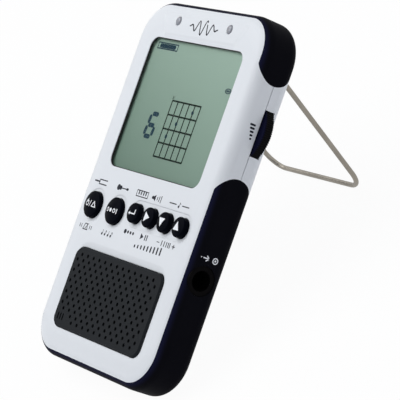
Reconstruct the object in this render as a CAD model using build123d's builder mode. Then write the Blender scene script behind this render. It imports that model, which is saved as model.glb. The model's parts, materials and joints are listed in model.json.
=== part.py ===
"""Pocket metronome and tuner: a two-part case on a swing-out wire stand.

The model is in millimetres with +Z up and the table at Z = 0. The device leans back on its wire
stand, so everything is drawn on `face`, the plane of its front: x runs to the right, y up along the
face from the bottom edge, and depths are measured backwards from it.
"""
from math import asin, atan2, cos, hypot, radians, sin, tan
import os

from build123d import *

os.makedirs("parts", exist_ok=True)

# ------------------------------------------------------------------ driving dimensions
# Case
case_width = 75.0
case_height = 122.0
case_depth = 13.7
corner_radius = 13.4
edge_round = 3.7
wall = 1.8
seam_depth = 7.4
seam_groove = 0.22
seam_groove_width = 0.8
fit_gap = 0.1

# Bumpers: bands round both ends with a round lobe on each side
side_inset = 2.0
top_inset = 1.4
bottom_inset = 1.8
lobe_radius = 6.6
upper_lobe_tip = 101.8
lower_lobe_tip = 71.5
rib_depth = 0.9
rib_height = 1.0

# Display
window_width = 54.6
window_height = 44.8
window_radius = 3.6
window_y = 86.95
window_lip = 0.5
lens_margin = 1.5
lens_thickness = 0.6
gasket_wall = 0.25
gasket_flange = 0.1
gasket_drop = 0.2
panel_side_margin = 1.1
panel_end_margin = 1.5
panel_thickness = 2.0
holder_wall = 1.2
holder_radius = 1.0
strip_end = 4.4
strip_width = 2.2
strip_inset = 1.2

# Relief of the front: a low visor above the display and a slope down to the grille's top edge
visor_height = 0.3
visor_taper = 78
visor_gap = 0.4
visor_x = -0.4
visor_top_width = 51.2
visor_bottom_width = 41.8
slope_depth = 0.45
slope_taper = 78

# Main board and its posts
board_depth = 5.2
board_thickness = 1.2
board_bottom = 46.2
board_side_gap = 0.5
board_top_gap = 0.8
post_radius = 1.9
post_side = 4.5
post_neck_side = 2.3
post_top = 5.3
part_gap = 0.3
board_screw_radius = 0.7
board_screw_head = 1.5
board_screw_head_height = 1.0
board_screw_length = 3.4
chip_size = 10.0
chip_height = 1.4
chip_chamfer = 0.28
chip_side = 10.9
chip_y = 72.0
crystal_length = 8.0
crystal_width = 3.2
crystal_round = 0.4
crystal_y = 84.0
capacitor_radius = 2.0
capacitor_height = 4.2
capacitor_side = 4.9
capacitor_pitch = 5.0
capacitor_count = 3
capacitor_y = 92.0

# Keys
big_key_radius = 4.5
small_key_radius = 3.3
big_key_proud = 1.25
small_key_proud = 1.7
big_key_dome = 0.75
small_key_dome = 0.4
key_round = 0.45
key_gap = 0.15
key_flange = 0.45
key_flange_height = 0.8
key_travel = 0.6
stem_radius = 1.2
dish_margin = 1.3
dish_depth = 0.2
dish_taper = 60
tray_end_margin = 0.8
tray_side_margin = 1.4
tray_radius = 4.1
switch_size = 6.0
switch_height = 1.3
plunger_radius = 1.0
big_key_side = 10.65
big_key_y = 50.65
big_key_shift = 0.2
small_key_side = 10.75
small_key_y = 51.95
small_key_pitch = 9.1
small_key_names = ("set_key", "play_key", "down_key", "up_key")

# Lamps
lamp_radius = 1.5
lamp_flange = 0.3
lamp_flange_height = 1.0
lamp_proud = 0.5
lamp_round = 0.9
lamp_x = 15.1
lamp_y = 115.5

# Speaker, grille and microphone
grille_width = 54.4
grille_height = 27.4
grille_radius = 3.6
grille_x = 0.3
grille_y = 23.05
grille_proud = 0.8
grille_bevel = 0.6
grille_recess = 1.0
cloth_thickness = 0.2
hole_radius = 0.62
hole_pitch = 3.73
row_pitch = 1.835
row_count = 13
long_row = 14
speaker_point = (-5.0, 23.05)
speaker_radius = 16.0
speaker_opening = 12.4
foam_width = 2.4
foam_thickness = 0.5
frame_sheet = 0.6
basket_depth = 3.6
magnet_radius = 8.0
magnet_height = 3.0
cone_thickness = 0.3
cone_depth = 1.8
dome_rise = 0.9
coil_radius = 4.0
ring_rib_wall = 1.0
ring_rib_height = 1.0
mic_point = (-22.6, 12.9)
mic_radius = 2.25
mic_length = 2.2
boot_wall = 0.6
mic_slot_length = 2.4
mic_slot_width = 0.7
mic_slot_pitch = 1.5
lead_radius = 0.4
lead_xs = (-14.2, -11.7)
lead_start = 12.4
lead_bend = 3.0
lead_depth = 8.0

# Gain wheel
wheel_radius = 10.8
wheel_thickness = 3.1
wheel_overhang = 2.6
wheel_y = 86.85
wheel_gap = 0.3
wheel_face_gap = 0.25
knurl_count = 96
knurl_radius = 0.22
pot_radius = 4.2
pot_height = 1.1
shaft_radius = 1.5
shaft_gap = 0.06
wheel_screw_radius = 0.6
wheel_screw_head = 1.9
wheel_screw_head_height = 0.8

# Input socket, for a 6.35 mm plug
jack_y = 38.6
jack_depth = 6.0
jack_bore = 3.25
jack_nose = 4.7
jack_width = 11.0
jack_height = 8.2
jack_inner_x = 10.5
jack_setback = 0.3
contact_thickness = 0.3
contact_width = 3.0
contact_tag = 3.0
contact_length = 20.0
socket_ring_wall = 0.65

# Battery bay, two AAA cells side by side
cell_radius = 5.2
cell_length = 43.7
cell_nub_radius = 1.9
cell_nub_height = 0.8
cell_gap = 0.7
cell_clearance = 0.1
bay_side_gap = 0.3
door_cell_gap = 0.2
bay_floor = 0.8
bay_wall = 1.0
bay_bottom = 58.6
spring_height = 3.1
spring_radius = 3.4
spring_wire = 0.3
spring_turns = 3
plate_thickness = 0.3
plate_size = 8.4
hump_half_width = 23.3
hump_bottom = 57.0
hump_top = 115.0
hump_edge_round = 1.2
board_bay_gap = 0.3

# Battery door
door_thickness = 1.3
door_margin = 1.6
door_tongue = 1.0
door_tongue_height = 0.5
door_gap = 0.15
door_top_margin = 1.2
door_ridge_count = 5
door_ridge_pitch = 2.4
door_ridge_length = 14.0
door_ridge_depth = 0.4

# Wire stand
wire_radius = 0.82
leg_length = 51.65
leg_x = 25.3
leg_bend = 6.8
pin_bend = 1.5
pin_length = 4.6
pivot_y = 107.3
pivot_depth = 15.4
open_angle = 63.7
pin_gap = 0.08
stop_gap = 0.06
stop_width = 3.3
stop_reach = 2.6
stop_thickness = 1.7

# Case screws
boss_side = 7.7
boss_end = 5.25
boss_radius = 2.2
column_radius = 3.0
case_screw_radius = 0.95
case_screw_head = 1.9
case_screw_head_height = 1.2
case_screw_length = 7.0
screw_seat_depth = 10.2
screw_gap = 0.1
slot_width = 0.5
slot_depth = 0.5

# ------------------------------------------------------------------ how the device stands
# The bar of the stand and the rounded lower back edge both touch the table.
bar_y = pivot_y - leg_length * cos(radians(open_angle))
bar_depth = pivot_depth + leg_length * sin(radians(open_angle))
heel_y = edge_round
heel_depth = case_depth - edge_round
span = hypot(bar_y - heel_y, bar_depth - heel_depth)
tilt = asin((wire_radius - edge_round) / span) + atan2(bar_depth - heel_depth, bar_y - heel_y)
face_height = edge_round - heel_y * sin(tilt) + heel_depth * cos(tilt)
front_reach = edge_round * (cos(tilt) + sin(tilt)) - edge_round
back_reach = (case_height - edge_round) * cos(tilt) + heel_depth * sin(tilt) + edge_round
face = Plane(
    origin=(-wheel_overhang / 2, -(front_reach + back_reach) / 2, face_height),
    x_dir=(1, 0, 0),
    z_dir=(0, -sin(tilt), cos(tilt)),
)
side = Plane(origin=face.origin, x_dir=face.y_dir, z_dir=face.x_dir)
outward = Axis(face.origin, face.z_dir)

# ------------------------------------------------------------------ derived sizes
half_width = case_width / 2
middle = (0, case_height / 2)
core_width = case_width - 2 * side_inset
core_height = case_height - top_inset - bottom_inset
core_middle = (0, bottom_inset + core_height / 2)
core_radius = corner_radius - side_inset
cavity_width = core_width - 2 * wall
cavity_height = core_height - 2 * wall
cavity_radius = core_radius - wall
cavity_top = case_height - top_inset - wall
boss_x = core_width / 2 - boss_side
boss_ys = (bottom_inset + boss_end, case_height - top_inset - boss_end)
boss_points = [(x, y) for y in boss_ys for x in (-boss_x, boss_x)]
lens_front = window_lip + gasket_flange
lens_back = lens_front + lens_thickness
lens_width = window_width + 2 * lens_margin - 2 * fit_gap
lens_height = window_height + 2 * lens_margin - 2 * fit_gap
panel_width = window_width + 2 * panel_side_margin
panel_height = window_height + 2 * panel_end_margin
panel_front = lens_back + fit_gap
panel_back = panel_front + panel_thickness
strip_length = panel_width - 2 * strip_end
strip_offset = panel_height / 2 - strip_inset - strip_width / 2
holder_bottom = window_y - panel_height / 2 - holder_wall
visor_bottom = window_y + window_height / 2 + visor_gap
visor_top = case_height - edge_round - visor_gap
slope_width = slope_depth * tan(radians(slope_taper))
board_back = board_depth + board_thickness
board_half_width = cavity_width / 2 - board_side_gap
board_shoulder_y = case_height - corner_radius
neck_half_width = boss_x - boss_radius - board_side_gap
low_post_x = core_width / 2 - post_side
low_post_y = holder_bottom - post_radius - part_gap
high_post_x = neck_half_width - post_neck_side
high_post_y = case_height - top_inset - post_top
post_points = [
    (-low_post_x, low_post_y), (low_post_x, low_post_y),
    (-high_post_x, high_post_y), (high_post_x, high_post_y),
]
chip_point = (chip_side - board_half_width, chip_y)
crystal_point = (chip_side - board_half_width, crystal_y)
capacitor_points = [
    (capacitor_side + i * capacitor_pitch - board_half_width, capacitor_y) for i in range(capacitor_count)
]
wheel_x = half_width + wheel_overhang - wheel_radius
wheel_front = seam_depth + wheel_face_gap
wheel_back = wheel_front + wheel_thickness
screw_seat = wheel_back - wheel_screw_head_height - fit_gap
cell_x = cell_radius + cell_gap / 2
bay_half_width = cell_x + cell_radius + bay_side_gap
bay_length = cell_length + cell_nub_height + spring_height + 2 * plate_thickness
bay_top = bay_bottom + bay_length
bay_front = board_back + board_bay_gap
cell_depth = bay_front + bay_floor + cell_clearance + cell_radius
door_front = cell_depth + cell_radius + door_cell_gap
hump_back = door_front + door_thickness
hump_radius = leg_bend - (leg_x - hump_half_width)
door_half_width = bay_half_width + door_margin
small_key_span = small_key_pitch * (len(small_key_names) - 1)
small_key_x = half_width - small_key_side - small_key_span
small_keys = {
    name: (small_key_x + i * small_key_pitch, small_key_y) for i, name in enumerate(small_key_names)
}
power_key_x = big_key_side - half_width
gap_middle = (power_key_x + big_key_radius + small_key_x - small_key_radius) / 2
big_keys = {
    "power_key": (power_key_x, big_key_y),
    "position_key": (gap_middle + big_key_shift, big_key_y),
}
tray_point = (small_key_x + small_key_span / 2, small_key_y)
tray_height = 2 * (small_key_radius + tray_side_margin)
tray_width = small_key_span + 2 * (small_key_radius + tray_end_margin)
switch_front = board_depth - switch_height
stem_back = switch_front - key_travel - fit_gap
key_flange_front = wall + fit_gap
key_flange_back = key_flange_front + key_flange_height
speaker_front = wall + foam_thickness
magnet_front = speaker_front + basket_depth


def axial(x, y):
    """Return the plane through the face's normal at (x, y), with radius along x and outward up."""
    return Plane(origin=face.from_local_coords((x, y, 0)), x_dir=face.x_dir, z_dir=-face.y_dir)


def save(piece, name):
    """Label a finished piece and write it as one STEP file."""
    piece.part.label = name
    export_step(piece.part, f"parts/{name}.step")


# ------------------------------------------------------------------ shared shapes, not pieces
with BuildPart() as envelope:
    with BuildSketch(face):
        with Locations(middle):
            RectangleRounded(case_width, case_height, corner_radius)
    extrude(amount=-case_depth)
    fillet(envelope.faces().sort_by(outward)[-1].edges(), radius=edge_round)
    fillet(envelope.faces().sort_by(outward)[0].edges(), radius=edge_round)

with BuildPart() as core:
    with BuildSketch(face.offset(case_depth)):
        with Locations(core_middle):
            RectangleRounded(core_width, core_height, core_radius)
    extrude(amount=-3 * case_depth)
    with BuildSketch(face.offset(-seam_depth + rib_height / 2)):
        with Locations(middle):
            Rectangle(2 * case_width, 2 * case_height)
        with Locations(core_middle):
            RectangleRounded(
                core_width - 2 * rib_depth, core_height - 2 * rib_depth, core_radius - rib_depth,
                mode=Mode.SUBTRACT,
            )
    extrude(amount=-rib_height, mode=Mode.SUBTRACT)

with BuildPart() as top_wrap:
    with BuildSketch(side.offset(-case_width)):
        with Locations((upper_lobe_tip + lobe_radius, -case_depth / 2)):
            Circle(lobe_radius)
            Rectangle(case_height, 2 * case_depth, align=(Align.MIN, Align.CENTER))
    extrude(amount=2 * case_width)
    add(core.part, mode=Mode.SUBTRACT)

with BuildPart() as bottom_wrap:
    with BuildSketch(side.offset(-case_width)):
        with Locations((lower_lobe_tip - lobe_radius, -case_depth / 2)):
            Circle(lobe_radius)
            Rectangle(case_height, 2 * case_depth, align=(Align.MAX, Align.CENTER))
    extrude(amount=2 * case_width)
    add(core.part, mode=Mode.SUBTRACT)

with BuildPart() as jack_passage:
    with BuildSketch(side.offset(half_width + wall)):
        with Locations((jack_y, -jack_depth)):
            Circle(jack_nose + fit_gap)
    extrude(amount=-(side_inset + 3 * wall))

# ------------------------------------------------------------------ bumpers
with BuildPart() as top_bumper:
    add(envelope.part)
    add(top_wrap.part, mode=Mode.INTERSECT)
save(top_bumper, "top_bumper")

with BuildPart() as bottom_bumper:
    add(envelope.part)
    add(bottom_wrap.part, mode=Mode.INTERSECT)
    add(jack_passage.part, mode=Mode.SUBTRACT)
save(bottom_bumper, "bottom_bumper")

# ------------------------------------------------------------------ front cover
with BuildPart() as front_cover:
    add(envelope.part)
    with BuildSketch(face.offset(-seam_depth)):
        with Locations(middle):
            Rectangle(2 * case_width, 2 * case_height)
    extrude(amount=-case_depth, mode=Mode.SUBTRACT)
    with BuildSketch(face.offset(-seam_depth)):
        with Locations(middle):
            Rectangle(2 * case_width, 2 * case_height)
            RectangleRounded(
                case_width - 2 * seam_groove_width, case_height - 2 * seam_groove_width,
                corner_radius - seam_groove_width, mode=Mode.SUBTRACT,
            )
    extrude(amount=seam_groove, mode=Mode.SUBTRACT)
    with BuildSketch(face.offset(-wall)):
        with Locations(core_middle):
            RectangleRounded(cavity_width, cavity_height, cavity_radius)
    extrude(amount=-case_depth, mode=Mode.SUBTRACT)
    with BuildSketch(face.offset(-wall)):
        with Locations(*boss_points):
            Circle(boss_radius)
    extrude(amount=wall - seam_depth)
    with BuildSketch(face.offset(-wall)):
        with Locations(*post_points):
            Circle(post_radius)
    extrude(amount=wall - board_depth)
    with BuildSketch(face.offset(-wall)):
        with Locations(speaker_point):
            Circle(speaker_radius + fit_gap + ring_rib_wall)
            Circle(speaker_radius + fit_gap, mode=Mode.SUBTRACT)
    extrude(amount=-ring_rib_height)
    add(top_wrap.part, mode=Mode.SUBTRACT)
    add(bottom_wrap.part, mode=Mode.SUBTRACT)
    # Screw holes: blind, from the seam and from the board's seat.
    with BuildSketch(face.offset(-seam_depth)):
        with Locations(*boss_points):
            Circle(case_screw_radius + fit_gap / 2)
    extrude(amount=case_screw_length - screw_seat_depth + seam_depth, mode=Mode.SUBTRACT)
    with BuildSketch(face.offset(-board_depth)):
        with Locations(*post_points):
            Circle(board_screw_radius + fit_gap / 2)
    extrude(amount=board_screw_length - board_thickness, mode=Mode.SUBTRACT)
    # Display window, with seats for the lens and the panel behind its lip.
    with BuildSketch(face):
        with Locations((0, window_y)):
            RectangleRounded(window_width, window_height, window_radius)
    extrude(amount=-wall, mode=Mode.SUBTRACT)
    with BuildSketch(face.offset(-window_lip)):
        with Locations((0, window_y)):
            RectangleRounded(
                window_width + 2 * lens_margin, window_height + 2 * lens_margin,
                window_radius + lens_margin,
            )
    extrude(amount=window_lip - wall, mode=Mode.SUBTRACT)
    with BuildSketch(face.offset(-lens_back)):
        with Locations((0, window_y)):
            Rectangle(panel_width + 2 * fit_gap, panel_height + 2 * fit_gap)
    extrude(amount=lens_back - wall, mode=Mode.SUBTRACT)
    # Seat of the grille, the speaker's opening and the microphone's.
    with BuildSketch(face):
        with Locations((grille_x, grille_y)):
            RectangleRounded(grille_width + 2 * fit_gap, grille_height + 2 * fit_gap, grille_radius + fit_gap)
    extrude(amount=-grille_recess, mode=Mode.SUBTRACT)
    with BuildSketch(face):
        with Locations(speaker_point):
            Circle(speaker_opening)
        with Locations(mic_point):
            Circle(mic_radius - boot_wall)
    extrude(amount=-wall, mode=Mode.SUBTRACT)
    with BuildSketch(face):
        with Locations((grille_x, grille_y + slope_width / 2)):
            RectangleRounded(grille_width, grille_height + slope_width, grille_radius + slope_width)
    extrude(amount=-slope_depth, taper=slope_taper, mode=Mode.SUBTRACT)
    # Keys: a dish round each large one, one tray for the small ones.
    for point in big_keys.values():
        with BuildSketch(face):
            with Locations(point):
                Circle(big_key_radius + dish_margin)
        extrude(amount=-dish_depth, taper=dish_taper, mode=Mode.SUBTRACT)
    with BuildSketch(face):
        with Locations(tray_point):
            RectangleRounded(tray_width, tray_height, tray_radius)
    extrude(amount=-dish_depth, taper=dish_taper, mode=Mode.SUBTRACT)
    with BuildSketch(face):
        with Locations(*big_keys.values()):
            Circle(big_key_radius + key_gap)
        with Locations(*small_keys.values()):
            Circle(small_key_radius + key_gap)
    extrude(amount=-wall, mode=Mode.SUBTRACT)
    # Visor above the display, with a hole for each lamp.
    with BuildSketch(face):
        with Locations((visor_x, 0)):
            Polygon(
                (-visor_top_width / 2, visor_top), (-visor_bottom_width / 2, visor_bottom),
                (visor_bottom_width / 2, visor_bottom), (visor_top_width / 2, visor_top), align=None,
            )
    extrude(amount=visor_height, taper=visor_taper)
    with BuildSketch(face.offset(visor_height)):
        with Locations((-lamp_x, lamp_y), (lamp_x, lamp_y)):
            Circle(lamp_radius + fit_gap)
    extrude(amount=-visor_height - wall, mode=Mode.SUBTRACT)
    add(jack_passage.part, mode=Mode.SUBTRACT)
save(front_cover, "front_cover")

# ------------------------------------------------------------------ rear cover
with BuildPart() as rear_cover:
    add(envelope.part)
    with BuildSketch(face.offset(-seam_depth)):
        with Locations(middle):
            Rectangle(2 * case_width, 2 * case_height)
    extrude(amount=case_depth, mode=Mode.SUBTRACT)
    with BuildSketch(face.offset(-seam_depth)):
        with Locations(core_middle):
            RectangleRounded(cavity_width, cavity_height, cavity_radius)
    extrude(amount=seam_depth - case_depth + wall, mode=Mode.SUBTRACT)
    # Raised battery bay.
    with BuildSketch(face.offset(wall - case_depth)):
        with Locations((0, (hump_bottom + hump_top) / 2)):
            RectangleRounded(2 * hump_half_width, hump_top - hump_bottom, hump_radius)
    extrude(amount=case_depth - wall - hump_back)
    fillet(rear_cover.faces().sort_by(outward)[0].edges(), radius=hump_edge_round)
    with BuildSketch(face.offset(-seam_depth)):
        with Locations((0, (hump_bottom + hump_top) / 2)):
            RectangleRounded(
                2 * (hump_half_width - wall), hump_top - hump_bottom - 2 * wall, hump_radius - wall
            )
    extrude(amount=seam_depth + wall - hump_back, mode=Mode.SUBTRACT)
    with BuildSketch(face.offset(-bay_front)):
        with Locations((0, (bay_bottom + bay_top) / 2)):
            Rectangle(2 * (bay_half_width + bay_wall), bay_length + 2 * bay_wall)
    extrude(amount=bay_front - door_front)
    with BuildSketch(face.offset(-door_front)):
        with Locations((0, bay_bottom - bay_wall)):
            Rectangle(
                2 * (door_half_width + door_tongue + bay_wall), bay_length + 2 * bay_wall + door_top_margin,
                align=(Align.CENTER, Align.MIN),
            )
    extrude(amount=wall)
    with BuildSketch(face.offset(-bay_front - bay_floor)):
        with Locations((0, (bay_bottom + bay_top) / 2)):
            Rectangle(2 * bay_half_width, bay_length)
    extrude(amount=-hump_back, mode=Mode.SUBTRACT)
    # The door's seat and the grooves for its tongues, open at the lower end.
    with BuildSketch(face.offset(-door_front)):
        with Locations((0, bay_top + door_top_margin)):
            Rectangle(2 * (door_half_width + door_gap), case_height, align=(Align.CENTER, Align.MAX))
    extrude(amount=-case_depth, mode=Mode.SUBTRACT)
    with BuildSketch(face.offset(-door_front)):
        with Locations((0, bay_top + door_top_margin)):
            Rectangle(
                2 * (door_half_width + door_tongue + door_gap), case_height, align=(Align.CENTER, Align.MAX)
            )
    extrude(amount=-door_tongue_height - 2 * door_gap, mode=Mode.SUBTRACT)
    # Screw columns with a deep seat for each head.
    with BuildSketch(face.offset(-seam_depth)):
        with Locations(*boss_points):
            Circle(column_radius)
    extrude(amount=seam_depth - case_depth + wall)
    add(top_wrap.part, mode=Mode.SUBTRACT)
    add(bottom_wrap.part, mode=Mode.SUBTRACT)
    with BuildSketch(face.offset(-seam_depth)):
        with Locations(*boss_points):
            Circle(case_screw_radius + screw_gap)
    extrude(amount=-case_depth, mode=Mode.SUBTRACT)
    with BuildSketch(face.offset(-screw_seat_depth)):
        with Locations(*boss_points):
            Circle(case_screw_head + screw_gap)
    extrude(amount=-case_depth, mode=Mode.SUBTRACT)
    # The gain wheel comes out through a round pocket.
    with BuildSketch(face.offset(-seam_depth)):
        with Locations((wheel_x, wheel_y)):
            Circle(wheel_radius + wheel_gap)
    extrude(amount=seam_depth - wheel_back - wheel_gap, mode=Mode.SUBTRACT)
    add(jack_passage.part, mode=Mode.SUBTRACT)
    # Stand: a pivot hole in each side of the bay and a stop behind each leg.
    for direction in (-1, 1):
        with BuildSketch(side.offset(direction * (hump_half_width + wall))):
            with Locations((pivot_y, -pivot_depth)):
                Circle(wire_radius + pin_gap)
        extrude(amount=-direction * 3 * wall, mode=Mode.SUBTRACT)
        with BuildSketch(side.offset(direction * (hump_half_width - fit_gap))):
            with BuildLine():
                leg = Vector(-cos(radians(open_angle)), -sin(radians(open_angle)))
                behind = Vector(-leg.Y, leg.X)
                seat = Vector(pivot_y, -pivot_depth) + behind * (wire_radius + stop_gap)
                heel = seat - leg * (pivot_depth - case_depth)
                tip = seat + leg * stop_reach
                Polyline(
                    (heel.X, wall / 2 - case_depth), (heel.X, heel.Y), (tip.X, tip.Y),
                    (tip.X + stop_thickness, tip.Y), (tip.X + 2 * stop_reach, wall / 2 - case_depth),
                    close=True,
                )
            make_face()
        extrude(amount=direction * stop_width)
save(rear_cover, "rear_cover")

# ------------------------------------------------------------------ display
with BuildPart() as lcd_gasket:
    with BuildSketch(face.offset(-gasket_drop)):
        with Locations((0, window_y)):
            RectangleRounded(window_width - fit_gap, window_height - fit_gap, window_radius)
    extrude(amount=gasket_drop - lens_front)
    with BuildSketch(face.offset(-window_lip)):
        with Locations((0, window_y)):
            RectangleRounded(lens_width, lens_height, window_radius + lens_margin)
    extrude(amount=-gasket_flange)
    with BuildSketch(face):
        with Locations((0, window_y)):
            RectangleRounded(
                window_width - 2 * gasket_wall, window_height - 2 * gasket_wall, window_radius - gasket_wall
            )
    extrude(amount=-case_depth, mode=Mode.SUBTRACT)
save(lcd_gasket, "lcd_gasket")

with BuildPart() as lcd_lens:
    with BuildSketch(face.offset(-lens_front)):
        with Locations((0, window_y)):
            RectangleRounded(lens_width, lens_height, window_radius + lens_margin)
    extrude(amount=-lens_thickness)
save(lcd_lens, "lcd_lens")

with BuildPart() as lcd_panel:
    with BuildSketch(face.offset(-panel_front)):
        with Locations((0, window_y)):
            Rectangle(panel_width, panel_height)
    extrude(amount=-panel_thickness)
save(lcd_panel, "lcd_panel")

with BuildPart() as lcd_holder:
    with BuildSketch(face.offset(-wall)):
        with Locations((0, window_y)):
            RectangleRounded(panel_width + 2 * holder_wall, panel_height + 2 * holder_wall, holder_radius)
    extrude(amount=wall - board_depth)
    with BuildSketch(face):
        with Locations((0, window_y)):
            Rectangle(panel_width + 2 * fit_gap, panel_height + 2 * fit_gap)
    extrude(amount=-panel_back, mode=Mode.SUBTRACT)
    with BuildSketch(face):
        with Locations((0, window_y - strip_offset), (0, window_y + strip_offset)):
            Rectangle(strip_length + fit_gap, strip_width + fit_gap)
    extrude(amount=-case_depth, mode=Mode.SUBTRACT)
save(lcd_holder, "lcd_holder")

with BuildPart() as connector_strips:
    with BuildSketch(face.offset(-panel_back)):
        with Locations((0, window_y - strip_offset), (0, window_y + strip_offset)):
            Rectangle(strip_length, strip_width)
    extrude(amount=panel_back - board_depth)
save(connector_strips, "connector_strips")

# ------------------------------------------------------------------ main board
with BuildPart() as main_board:
    with BuildSketch(face.offset(-board_depth)):
        with Locations((0, board_bottom)):
            Rectangle(
                2 * board_half_width, board_shoulder_y - board_bottom, align=(Align.CENTER, Align.MIN)
            )
        with Locations((0, cavity_top - board_top_gap)):
            Rectangle(
                2 * neck_half_width, cavity_top - board_top_gap - board_bottom,
                align=(Align.CENTER, Align.MAX),
            )
        with Locations(*post_points):
            Circle(board_screw_radius + fit_gap / 2, mode=Mode.SUBTRACT)
    extrude(amount=-board_thickness)
save(main_board, "main_board")

with BuildPart() as board_screws:
    with BuildSketch(face.offset(-board_back)):
        with Locations(*post_points):
            Circle(board_screw_radius)
    extrude(amount=board_screw_length)
    with BuildSketch(face.offset(-board_back)):
        with Locations(*post_points):
            Circle(board_screw_head)
    extrude(amount=-board_screw_head_height)
save(board_screws, "board_screws")

with BuildPart() as controller_chip:
    with BuildSketch(face.offset(-board_back)):
        with Locations(chip_point):
            Rectangle(chip_size, chip_size)
    extrude(amount=-chip_height)
    chamfer(controller_chip.faces().sort_by(outward)[0].edges(), length=chip_chamfer)
save(controller_chip, "controller_chip")

with BuildPart() as quartz_can:
    with BuildSketch(face.offset(-board_back)):
        with Locations(crystal_point):
            SlotOverall(crystal_length, crystal_width)
    extrude(amount=-crystal_width)
    fillet(quartz_can.faces().sort_by(outward)[0].edges(), radius=crystal_round)
save(quartz_can, "quartz_can")

with BuildPart() as capacitors:
    with BuildSketch(face.offset(-board_back)):
        with Locations(*capacitor_points):
            Circle(capacitor_radius)
    extrude(amount=-capacitor_height)
save(capacitors, "capacitors")

# ------------------------------------------------------------------ keys and their switches
with BuildPart() as tact_switches:
    with BuildSketch(face.offset(-switch_front)):
        with Locations(*big_keys.values(), *small_keys.values()):
            Rectangle(switch_size, switch_size)
    extrude(amount=-switch_height)
    with BuildSketch(face.offset(-switch_front)):
        with Locations(*big_keys.values(), *small_keys.values()):
            Circle(plunger_radius + fit_gap)
    extrude(amount=fit_gap - switch_height, mode=Mode.SUBTRACT)
save(tact_switches, "tact_switches")

key_sizes = {name: (point, big_key_radius, big_key_proud, big_key_dome) for name, point in big_keys.items()}
key_sizes |= {
    name: (point, small_key_radius, small_key_proud, small_key_dome) for name, point in small_keys.items()
}
for name, (point, radius, proud, dome) in key_sizes.items():
    with BuildPart() as key:
        with BuildSketch(axial(*point)) as profile:
            with BuildLine():
                Polyline(
                    (0, proud + dome), (0, -stem_back), (stem_radius, -stem_back),
                    (stem_radius, -key_flange_back), (radius + key_flange, -key_flange_back),
                    (radius + key_flange, -key_flange_front), (radius, -key_flange_front), (radius, proud),
                )
                TangentArc((0, proud + dome), (radius, proud), tangent=(1, 0))
            make_face()
            fillet(profile.vertices().sort_by_distance((radius, proud))[0], radius=key_round)
        revolve(axis=Axis(axial(*point).origin, face.z_dir))
    save(key, name)

    with BuildPart() as plunger:
        with BuildSketch(face.offset(-stem_back)):
            with Locations(point):
                Circle(plunger_radius)
        extrude(amount=stem_back - board_depth + key_travel + 2 * fit_gap)
    save(plunger, name.replace("_key", "_plunger"))

# ------------------------------------------------------------------ lamps
for name, x in {"left_lamp": -lamp_x, "right_lamp": lamp_x}.items():
    with BuildPart() as lamp:
        with BuildSketch(face.offset(visor_height + lamp_proud)):
            with Locations((x, lamp_y)):
                Circle(lamp_radius)
        extrude(amount=-visor_height - lamp_proud - board_depth)
        fillet(lamp.faces().sort_by(outward)[-1].edges(), radius=lamp_round)
        with BuildSketch(face.offset(-board_depth)):
            with Locations((x, lamp_y)):
                Circle(lamp_radius + lamp_flange)
        extrude(amount=lamp_flange_height)
    save(lamp, name)

# ------------------------------------------------------------------ speaker, grille and microphone
with BuildPart() as speaker_grille:
    with BuildSketch(face.offset(grille_proud)):
        with Locations((grille_x, grille_y)):
            RectangleRounded(grille_width, grille_height, grille_radius)
    extrude(amount=cloth_thickness - grille_recess - grille_proud)
    chamfer(speaker_grille.faces().sort_by(outward)[-1].edges(), length=grille_bevel)
    with BuildSketch(face.offset(grille_proud)):
        for row in range(row_count):
            count = long_row - 1 + row % 2
            first = 2 if row >= row_count - 2 else 0
            row_y = grille_y + (row_count / 2 - 0.5 - row) * row_pitch
            row_x = [(column - count / 2 + 0.5) * hole_pitch for column in range(first, count)]
            with Locations(*[(x, row_y) for x in row_x]):
                Circle(hole_radius)
        with Locations(mic_point):
            with GridLocations(mic_slot_pitch, 1, 3, 1):
                SlotOverall(mic_slot_length, mic_slot_width, rotation=90)
    extrude(amount=-case_depth, mode=Mode.SUBTRACT)
save(speaker_grille, "speaker_grille")

with BuildPart() as dust_cloth:
    with BuildSketch(face.offset(cloth_thickness - grille_recess)):
        with Locations((grille_x, grille_y)):
            RectangleRounded(grille_width, grille_height, grille_radius)
    extrude(amount=-cloth_thickness)
save(dust_cloth, "dust_cloth")

with BuildPart() as speaker_foam:
    with BuildSketch(face.offset(-wall)):
        with Locations(speaker_point):
            Circle(speaker_radius)
            Circle(speaker_radius - foam_width, mode=Mode.SUBTRACT)
    extrude(amount=-foam_thickness)
save(speaker_foam, "speaker_foam")

rim_inner = speaker_radius - foam_width
frame_bore = coil_radius + cone_thickness
with BuildPart() as speaker_frame:
    with BuildSketch(axial(*speaker_point)):
        with BuildLine():
            Polyline(
                (speaker_radius, -speaker_front), (rim_inner, -speaker_front),
                (magnet_radius, frame_sheet - magnet_front), (frame_bore, frame_sheet - magnet_front),
                (frame_bore, -magnet_front), (magnet_radius, -magnet_front),
                (rim_inner, -speaker_front - frame_sheet), (speaker_radius, -speaker_front - frame_sheet),
                close=True,
            )
        make_face()
    revolve(axis=Axis(axial(*speaker_point).origin, face.z_dir))
save(speaker_frame, "speaker_frame")

with BuildPart() as speaker_magnet:
    with BuildSketch(face.offset(-magnet_front)):
        with Locations(speaker_point):
            Circle(magnet_radius)
    extrude(amount=-magnet_height)
    chamfer(speaker_magnet.faces().sort_by(outward)[0].edges(), length=frame_sheet)
save(speaker_magnet, "speaker_magnet")

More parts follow.
